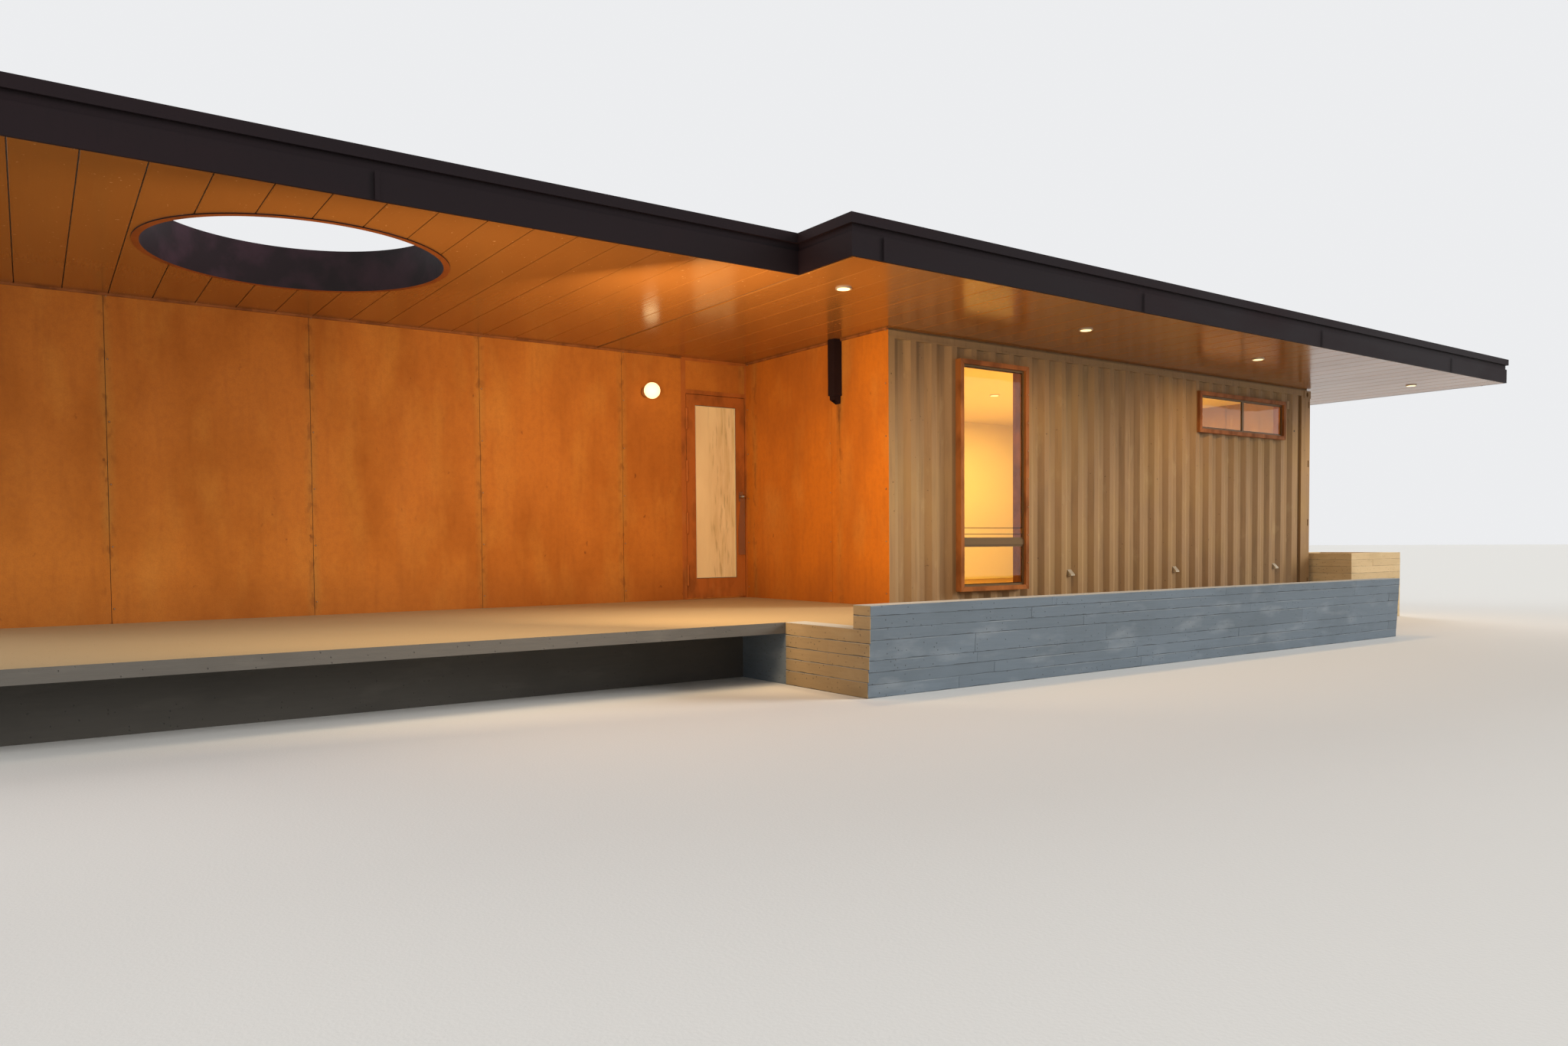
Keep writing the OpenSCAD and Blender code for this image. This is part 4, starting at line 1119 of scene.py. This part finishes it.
@dataclass
class FormBoards:
    """The marks of the form boards: rows of slightly proud boards with open joints."""

    site: Site
    board: float = 90 * MM
    gap: float = 2 * MM
    proud: Pair = (0.5 * MM, 3 * MM)
    sunk: float = 4 * MM
    lengths: Pair = (1.4, 3.4)
    shortest: float = 8 * MM
    bevel: float = 1 * MM
    front_joints: tuple[float, ...] = (0.074, 0.165, 0.248, 0.390, 0.472, 0.560)
    side_joints: tuple[float, ...] = (0.097, 0.190, 0.280, 0.370)
    slab: float = 85 * MM
    slab_reach: float = 1005 * MM
    batter: float = 35 * MM
    wall: float = 185 * MM
    casting_proud: float = 6 * MM
    planter_gap: float = 150 * MM
    seed: int = 11

    def build(self) -> None:
        """Covers every face that shows board marks."""
        strip = Strip(self.bevel)
        dice = random.Random(self.seed)
        for face in self.faces():
            self.cover(face, strip, dice)

    def cover(self, face: FormFace, strip: Strip, dice: random.Random) -> None:
        """Covers one face with rows of boards, from its top down.

        Args:
            face: The face to cover.
            strip: What the boards are cut from.
            dice: Source of the boards' lengths, depths and tones.
        """
        lean = math.atan2(face.lean, face.height)
        outward = -Z_AXIS.cross(face.along)
        up = Z_AXIS * math.cos(lean) + outward * math.sin(lean)
        into = up.cross(face.along)
        turn = Matrix((face.along, into, up)).transposed().to_4x4()
        rise = face.height / math.cos(lean)
        even = (self.board * k for k in range(1, math.ceil(face.height / self.board)))
        edges = [rise - depth / math.cos(lean) for depth in (0.0, *(face.joints or even), face.height)]
        pieces = []
        for top, bottom in zip(edges, edges[1:]):
            share = 1 - (top + bottom) / 2 / rise
            start = face.ends[0] * share
            stop = face.length - face.ends[1] * share
            at = start - dice.uniform(0, self.lengths[0])
            while at < stop:
                reach = dice.uniform(*self.lengths)
                a, b = max(at, start) + self.gap / 4, min(at + reach, stop) - self.gap / 4
                depth = dice.uniform(*self.proud)
                if b - a > self.shortest:
                    middle = Vector(face.corner) + face.along * (a + b) / 2 + up * (top + bottom) / 2
                    middle += into * (self.sunk - depth) / 2
                    size = b - a, self.sunk + depth, top - bottom - self.gap
                    pieces.append(strip.cut(size, Matrix.Translation(middle) @ turn, dice.random()))
                at += reach
        settle(face.name, pieces, face.finish)

    def faces(self) -> list[FormFace]:
        """Lists the faces that show board marks.

        Returns:
            Those of the terrace walls, of the foundation and of the planter without its footing.
        """
        low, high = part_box("terrace_walls")
        base_low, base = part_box("foundations")
        near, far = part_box("end_planter")
        x, y, floor = self.site.x, self.site.y, self.site.z
        slab_front, back = y - self.slab_reach, low.y + self.wall
        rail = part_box("container_rails")[0].z
        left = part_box("corner_posts")[1].x - self.casting_proud + self.planter_gap
        width, depth = far.x - left, far.y - near.y
        planter = far.z, LAMPLIT_PLANTER_CONCRETE
        joints = self.front_joints
        return [
            FormFace(
                "front_wall_boards", (low.x, low.y + self.batter, 0), X_AXIS, high.x - low.x, high.z,
                lean=self.batter, joints=joints,
            ),
            FormFace(
                "wall_right_end_boards", (high.x, low.y, 0), Y_AXIS, self.wall, high.z,
                ends=(self.batter, 0.0), joints=joints,
            ),
            FormFace(
                "side_wall_boards", (low.x, slab_front, 0), -Y_AXIS, slab_front - low.y, floor,
                LAMPLIT_SIDE_CONCRETE, ends=(0.0, self.batter), joints=self.side_joints,
            ),
            FormFace(
                "wall_left_end_boards", (low.x, back, floor), -Y_AXIS, self.wall, high.z - floor,
                LAMPLIT_SIDE_CONCRETE, joints=joints[:1],
            ),
            FormFace("return_wall_boards", (high.x, back, 0), Y_AXIS, y - back, floor - self.slab),
            FormFace("container_base_boards", (x, y, 0), X_AXIS, base.x - x, rail),
            FormFace("right_base_boards", (base.x, y, 0), Y_AXIS, base.y - y, rail),
            FormFace("back_base_boards", (base.x, base.y, 0), -X_AXIS, base.x - base_low.x, rail),
            FormFace("planter_front_boards", (left, near.y, 0), X_AXIS, width, *planter),
            FormFace("planter_right_boards", (far.x, near.y, 0), Y_AXIS, depth, *planter),
            FormFace("planter_back_boards", (far.x, far.y, 0), -X_AXIS, width, *planter),
            FormFace("planter_left_boards", (left, far.y, 0), -Y_AXIS, depth, *planter),
        ]


@dataclass(frozen=True)
class Head:
    """A round screw head, washer or plugged hole, whose back lies on a wall."""

    radius: float
    depth: float
    facets: int = 10
    rim: float = 0.35

    def copies(self, places: Iterable[tuple[Vector, float]]) -> list[Piece]:
        """Models the head once and puts a copy at each place.

        Args:
            places: Each place, with the head's turn about z in degrees; at 0 it points along -y.

        Returns:
            The new objects.
        """
        deselect()
        bpy.ops.mesh.primitive_cylinder_add(vertices=self.facets, radius=self.radius, depth=self.depth)
        head = bpy.context.active_object
        bpy.ops.object.mode_set(mode="EDIT")
        bpy.ops.mesh.select_all(action="DESELECT")
        bpy.ops.object.mode_set(mode="OBJECT")
        for face in head.data.polygons:
            face.select = face.normal.z > 0.9
        bpy.ops.object.mode_set(mode="EDIT")
        bpy.ops.mesh.inset(thickness=self.radius * self.rim, depth=self.depth * self.rim)
        bpy.ops.object.mode_set(mode="OBJECT")
        mesh = head.data
        upright = Matrix.Rotation(math.radians(90), 4, "X")
        mesh.transform(upright @ Matrix.Translation(Z_AXIS * self.depth / 2))
        bpy.data.objects.remove(head)
        made = []
        for place, turn in places:
            copy = mesh.copy()
            copy.transform(Matrix.Translation(place) @ Matrix.Rotation(math.radians(turn), 4, "Z"))
            made.append(add_object("head", copy))
        return made


@dataclass
class Fasteners:
    """Round-headed screws on dark washers, along the sheet joints and the tall window's jamb."""

    site: Site
    screw: Head = Head(5 * MM, 5 * MM)
    washer: Head = Head(8 * MM, 1.5 * MM)
    sheet: float = 1.524
    seam: float = 1.568
    sheet_thickness: float = 5 * MM
    beside: float = 22 * MM
    corner: float = 35 * MM
    margin: float = 40 * MM
    from_end: float = 0.1
    foot: float = 0.12
    spacing: float = 0.5
    rows: int = 6
    jamb_x: float = 1.857
    jamb_top: float = 2.135
    jamb_spacing: float = 0.291
    jamb_screws: int = 7

    def build(self) -> None:
        """Puts screws beside the joints of the weathered sheets and down the window's jamb."""
        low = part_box("porch_sheets")[0]
        end_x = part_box("cabin_end_sheets")[0].x
        wing_low, wing_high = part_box("wing_end_sheets")
        front = low.y
        end_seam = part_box("porch_wall")[0].y - self.sheet_thickness - self.seam
        columns = []
        x = self.site.x - self.seam
        while x > low.x + self.from_end:
            columns.append((x + self.beside, front, 0.0))
            x -= self.sheet
        columns += [
            (end_x, end_seam + self.beside, -90.0),
            (end_x, self.site.y + self.corner, -90.0),
            (end_x, front - self.corner, -90.0),
            (wing_low.x, front + self.margin, -90.0),
            (wing_low.x, front + self.sheet + self.beside, -90.0),
            (wing_low.x, wing_high.y - self.margin, -90.0),
        ]
        places = [
            (Vector((x, y, self.site.z + self.foot + k * self.spacing)), turn)
            for x, y, turn in columns
            for k in range(self.rows)
        ]
        jamb_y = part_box("tall_window_frame")[0].y - self.site.y
        places += [
            (self.site.at(self.jamb_x, jamb_y, self.jamb_top - self.jamb_spacing * k), 0.0)
            for k in range(self.jamb_screws)
        ]
        settle("sheet_washers", self.washer.copies(places), FRAMES)
        out = -Y_AXIS * self.washer.depth
        raised = [
            (place + Matrix.Rotation(math.radians(turn), 3, "Z") @ out, turn) for place, turn in places
        ]
        settle("sheet_screws", self.screw.copies(raised), SCREW)


@dataclass
class OldFixings:
    """What old fittings left on the container's side, with x and z of each: a plate, a weld and holes."""

    site: Site
    plate: tuple[Pair, Pair] = ((6.993, 2.344), (7.047, 2.449))
    weld: tuple[Pair, Pair] = ((6.992, 2.314), (7.064, 2.169))
    burn: Pair = (7.176, 2.062)
    holes: tuple[Pair, ...] = (
        (0.430, 2.514), (0.429, 2.430), (0.458, 2.403), (0.471, 1.801), (0.210, 2.424), (0.440, 1.834),
    )
    hole: Head = Head(4 * MM, 1 * MM)
    burnt: Head = Head(14 * MM, 1 * MM)
    plate_thickness: float = 2 * MM
    weld_depth: float = 5 * MM
    weld_width: float = 7 * MM
    trough: float = 36 * MM
    bevel: float = 0.4 * MM

    def build(self) -> None:
        """Fixes the plate and the weld, and marks the holes in the troughs and the burnt one."""
        strip = Strip(self.bevel)
        (left, foot), (right, top) = self.plate
        plate = strip.between(self.site.at(left, -self.plate_thickness, foot), self.site.at(right, 0, top))
        start, end = (self.site.at(x, 0, z) for x, z in self.weld)
        run = end - start
        turn = Matrix.Rotation(math.atan2(-run.z, run.x), 4, "Y")
        size = run.length, self.weld_depth, self.weld_width
        weld = strip.cut(size, Matrix.Translation((start + end) / 2) @ turn)
        settle("old_plate_and_weld", [plate, weld], PAINT)
        holes = self.hole.copies((self.site.at(x, self.trough, z), 0.0) for x, z in self.holes)
        holes += self.burnt.copies([(self.site.at(self.burn[0], 0, self.burn[1]), 0.0)])
        settle("old_holes", holes, RUBBER)


@dataclass
class Trims:
    """Thin strips: angles under the soffit, lap joints of the fascia, and the container's top flange."""

    site: Site
    angle: float = 18 * MM
    lap_width: float = 28 * MM
    lap_depth: float = 1.5 * MM
    first_lap: float = 0.3
    last_lap: float = 0.2
    fascia_sheet: float = 3.05
    band: float = 172 * MM
    flange: Pair = (2.547, 2.570)
    flange_depth: float = 3 * MM
    bevel: float = 0.4 * MM

    def build(self) -> None:
        """Fixes all the strips."""
        strip = Strip(self.bevel)
        self.angles(strip)
        self.laps(strip)
        low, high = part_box("front_wall")
        foot, top = (self.site.z + z for z in self.flange)
        flanges = [
            strip.between((low.x, side, foot), (high.x, side + self.flange_depth, top))
            for side in (low.y - self.flange_depth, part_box("back_wall")[1].y)
        ]
        settle("container_flanges", flanges, PAINT)

    def angles(self, strip: Strip) -> None:
        """Runs a rusty angle along the weathered sheets, under the soffit.

        Args:
            strip: What the strips are cut from.
        """
        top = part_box("porch_soffit")[0].z
        foot = top - self.angle
        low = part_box("porch_sheets")[0]
        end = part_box("cabin_end_sheets")[0]
        wing_low, wing_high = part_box("wing_end_sheets")
        pieces = [
            strip.between((low.x, low.y - self.angle, foot), (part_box("door_frame")[0].x, low.y, top)),
            strip.between((end.x - self.angle, end.y, foot), (end.x, low.y - self.angle, top)),
            strip.between((wing_low.x - self.angle, wing_low.y, foot), (wing_low.x, wing_high.y, top)),
        ]
        settle("soffit_angles", pieces, FRAMES)

    def laps(self, strip: Strip) -> None:
        """Covers the joints between the lengths of the fascia.

        Args:
            strip: What the strips are cut from.
        """
        pieces = []
        for node, along, side in (
            ("porch_fascia", X_AXIS, -1),
            ("cabin_fascia", X_AXIS, -1),
            ("back_fascia", X_AXIS, 1),
            ("right_fascia", Y_AXIS, 1),
            ("left_fascia", Y_AXIS, -1),
        ):
            low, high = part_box(node)
            across = Vector((1, 1, 0)) - along
            face = (high if side > 0 else low).dot(across)
            inner, outer = sorted((face, face + side * self.lap_depth))
            at = low.dot(along) + self.first_lap
            while at < high.dot(along) - self.last_lap:
                foot = along * at + across * inner + Z_AXIS * low.z
                head = along * (at + self.lap_width) + across * outer + Z_AXIS * (low.z + self.band)
                pieces.append(strip.between(foot, head))
                at += self.fascia_sheet
        settle("fascia_laps", pieces, FASCIA)


@dataclass
class WindowTrims:
    """Rubber seals round the panes, mitre joints at the frame corners, and a bead round the door's glass."""

    face: float = 46 * MM
    sash: float = 20 * MM
    setback: float = 42 * MM
    rail: Pair = (0.578, 0.633)
    seal: Pair = (7 * MM, 4 * MM)
    gasket: Pair = (5 * MM, 4 * MM)
    bead: Pair = (6 * MM, 9 * MM)
    mitre: float = 1.6 * MM
    mitre_share: float = 1.36
    bevel: float = 0.4 * MM

    def ring(self, strip: Strip, low: Pair, high: Pair, plane: float, section: Pair) -> list[Piece]:
        """Makes four strips round an upright opening that faces -y.

        Args:
            strip: What the strips are cut from.
            low: X and z of the opening's lower left corner.
            high: X and z of its upper right corner.
            plane: Where the strips' back lies along y.
            section: Width of the strips, and how far they stand out.

        Returns:
            The strips.
        """
        width, depth = section
        front, back = plane - depth, plane + MM
        (left, foot), (right, head) = low, high
        return [
            strip.between((left, front, foot), (left + width, back, head)),
            strip.between((right - width, front, foot), (right, back, head)),
            strip.between((left + width, front, foot), (right - width, back, foot + width)),
            strip.between((left + width, front, head - width), (right - width, back, head)),
        ]

    def build(self) -> None:
        """Seals the windows and the door's glass, and marks the mitres."""
        strip = Strip(self.bevel)
        self.seal_windows(strip)
        self.mark_mitres(strip)
        low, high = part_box("door_glass")
        inner = self.gasket[0]
        gasket = self.ring(strip, (low.x, low.z), (high.x, high.z), low.y, self.gasket)
        settle("door_gasket", gasket, RUBBER, Body.DOOR)
        bead = self.ring(
            strip, (low.x + inner, low.z + inner), (high.x - inner, high.z - inner), low.y, self.bead
        )
        settle("door_bead", bead, BEAD, Body.DOOR)

    def seal_windows(self, strip: Strip) -> None:
        """Runs a seal round each pane of both windows.

        Args:
            strip: What the strips are cut from.
        """
        edge = self.face + self.sash
        tall_low, tall_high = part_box("tall_window_frame")
        wide_low, wide_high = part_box("wide_window_frame")
        middle = (wide_low.x + wide_high.x) / 2
        left, right = tall_low.x + edge, tall_high.x - edge
        foot, head = wide_low.z + edge, wide_high.z - edge
        seals = []
        for low, high, front in (
            ((left, tall_low.z + edge), (right, tall_low.z + self.rail[0]), tall_low.y),
            ((left, tall_low.z + self.rail[1]), (right, tall_high.z - edge), tall_low.y),
            ((wide_low.x + edge, foot), (middle - self.sash, head), wide_low.y),
            ((middle + self.sash, foot), (wide_high.x - edge, head), wide_low.y),
        ):
            seals += self.ring(strip, low, high, front + self.setback, self.seal)
        settle("window_seals", seals, RUBBER)

    def mark_mitres(self, strip: Strip) -> None:
        """Marks the mitre joint at each corner of the window frames.

        Args:
            strip: What the strips are cut from.
        """
        size = self.face * self.mitre_share, self.mitre, self.mitre
        mitres = []
        for node in ("tall_window_frame", "wide_window_frame"):
            low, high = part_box(node)
            half = Vector((self.face / 2, 0, self.face / 2))
            for x, z, turn in (
                (low.x, low.z, -45), (high.x, high.z, -45), (low.x, high.z, 45), (high.x, low.z, 45),
            ):
                inward = half * Vector((1 if x == low.x else -1, 0, 1 if z == low.z else -1))
                place = Matrix.Translation(Vector((x, low.y, z)) + inward)
                mitres.append(strip.cut(size, place @ Matrix.Rotation(math.radians(turn), 4, "Y")))
        settle("frame_mitres", mitres, RUBBER)


@dataclass
class Lenses:
    """The lit glass of the downlights, flat and round: four under the roof and one in the room."""

    site: Site
    radius: float = 52.645 * MM
    depth: float = 12.752 * MM
    facets: int = 32
    recess: float = 5 * MM
    room: Pair = (3.85, 2.28)
    overhang: float = 15 * MM
    from_end: float = 0.89

    def build(self) -> None:
        """Sets a lens in each downlight; the last one under the roof is measured from the fascia's end."""
        x, y = self.site.x, self.site.y
        soffit, ceiling = (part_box(node)[0].z - self.recess for node in ("porch_soffit", "ceiling"))
        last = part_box("cabin_fascia")[1].x - self.overhang - self.from_end
        under_roof = [*(x + across for across in DOWNLIGHTS_X[:-1]), last]
        places = [(across, y + DOWNLIGHTS_Y, soffit) for across in under_roof]
        places.append((x + self.room[0], y + self.room[1], ceiling))
        lenses = []
        for place in places:
            deselect()
            bpy.ops.mesh.primitive_cylinder_add(
                vertices=self.facets, radius=self.radius, depth=self.depth, location=place
            )
            lenses.append(bpy.context.active_object)
        settle("downlight_lenses", lenses, LAMP)


@dataclass
class RoofSeams:
    """Lapped seams of the roofing felt."""

    spacing: float = 1.9
    width: float = 0.09
    thickness: float = 4 * MM
    first: float = 0.6
    last: float = 0.3
    inner: float = 0.12
    bevel: float = 1 * MM

    def build(self) -> None:
        """Lays the seams over both roof decks, and stops them at the round opening."""
        strip = Strip(self.bevel)
        pieces = []
        ring_low, ring_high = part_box("roof_ring")
        for node in ("porch_roof", "cabin_roof"):
            low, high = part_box(node)
            x = low.x + self.first
            while x < high.x - self.last:
                runs = [(low.y + self.inner, high.y - self.inner)]
                if ring_low.x - self.width < x < ring_high.x and node == "porch_roof":
                    runs = [(low.y + self.inner, ring_low.y), (ring_high.y, high.y - self.inner)]
                top = high.z + self.thickness
                pieces += [strip.between((x, a, high.z), (x + self.width, b, top)) for a, b in runs]
                x += self.spacing
        settle("roof_seams", pieces, MEMBRANE)


def dress_nodes(nodes: dict[str, Piece]) -> None:
    """Gives each solid of the frame its finish.

    Args:
        nodes: The solids by name.
    """
    for finish, names in NODE_FINISHES.items():
        for name in names:
            dress(nodes[name], finish)
    missing = set(nodes) - {name for names in NODE_FINISHES.values() for name in names}
    if missing:
        LOG.warning("no finish for %s", sorted(missing))


def main() -> None:
    """Builds the scene round the frame."""
    logging.basicConfig(level=logging.INFO, format="%(name)s: %(message)s")
    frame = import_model()
    site = Site()
    Viewpoint(site).build()
    Studio(site).build()
    dress_nodes(frame["nodes"])
    SoffitBoards(site).build()
    FormBoards(site).build()
    Fasteners(site).build()
    OldFixings(site).build()
    Trims(site).build()
    WindowTrims().build()
    Lenses(site).build()
    RoofSeams().build()


if __name__ == "__main__":
    main()
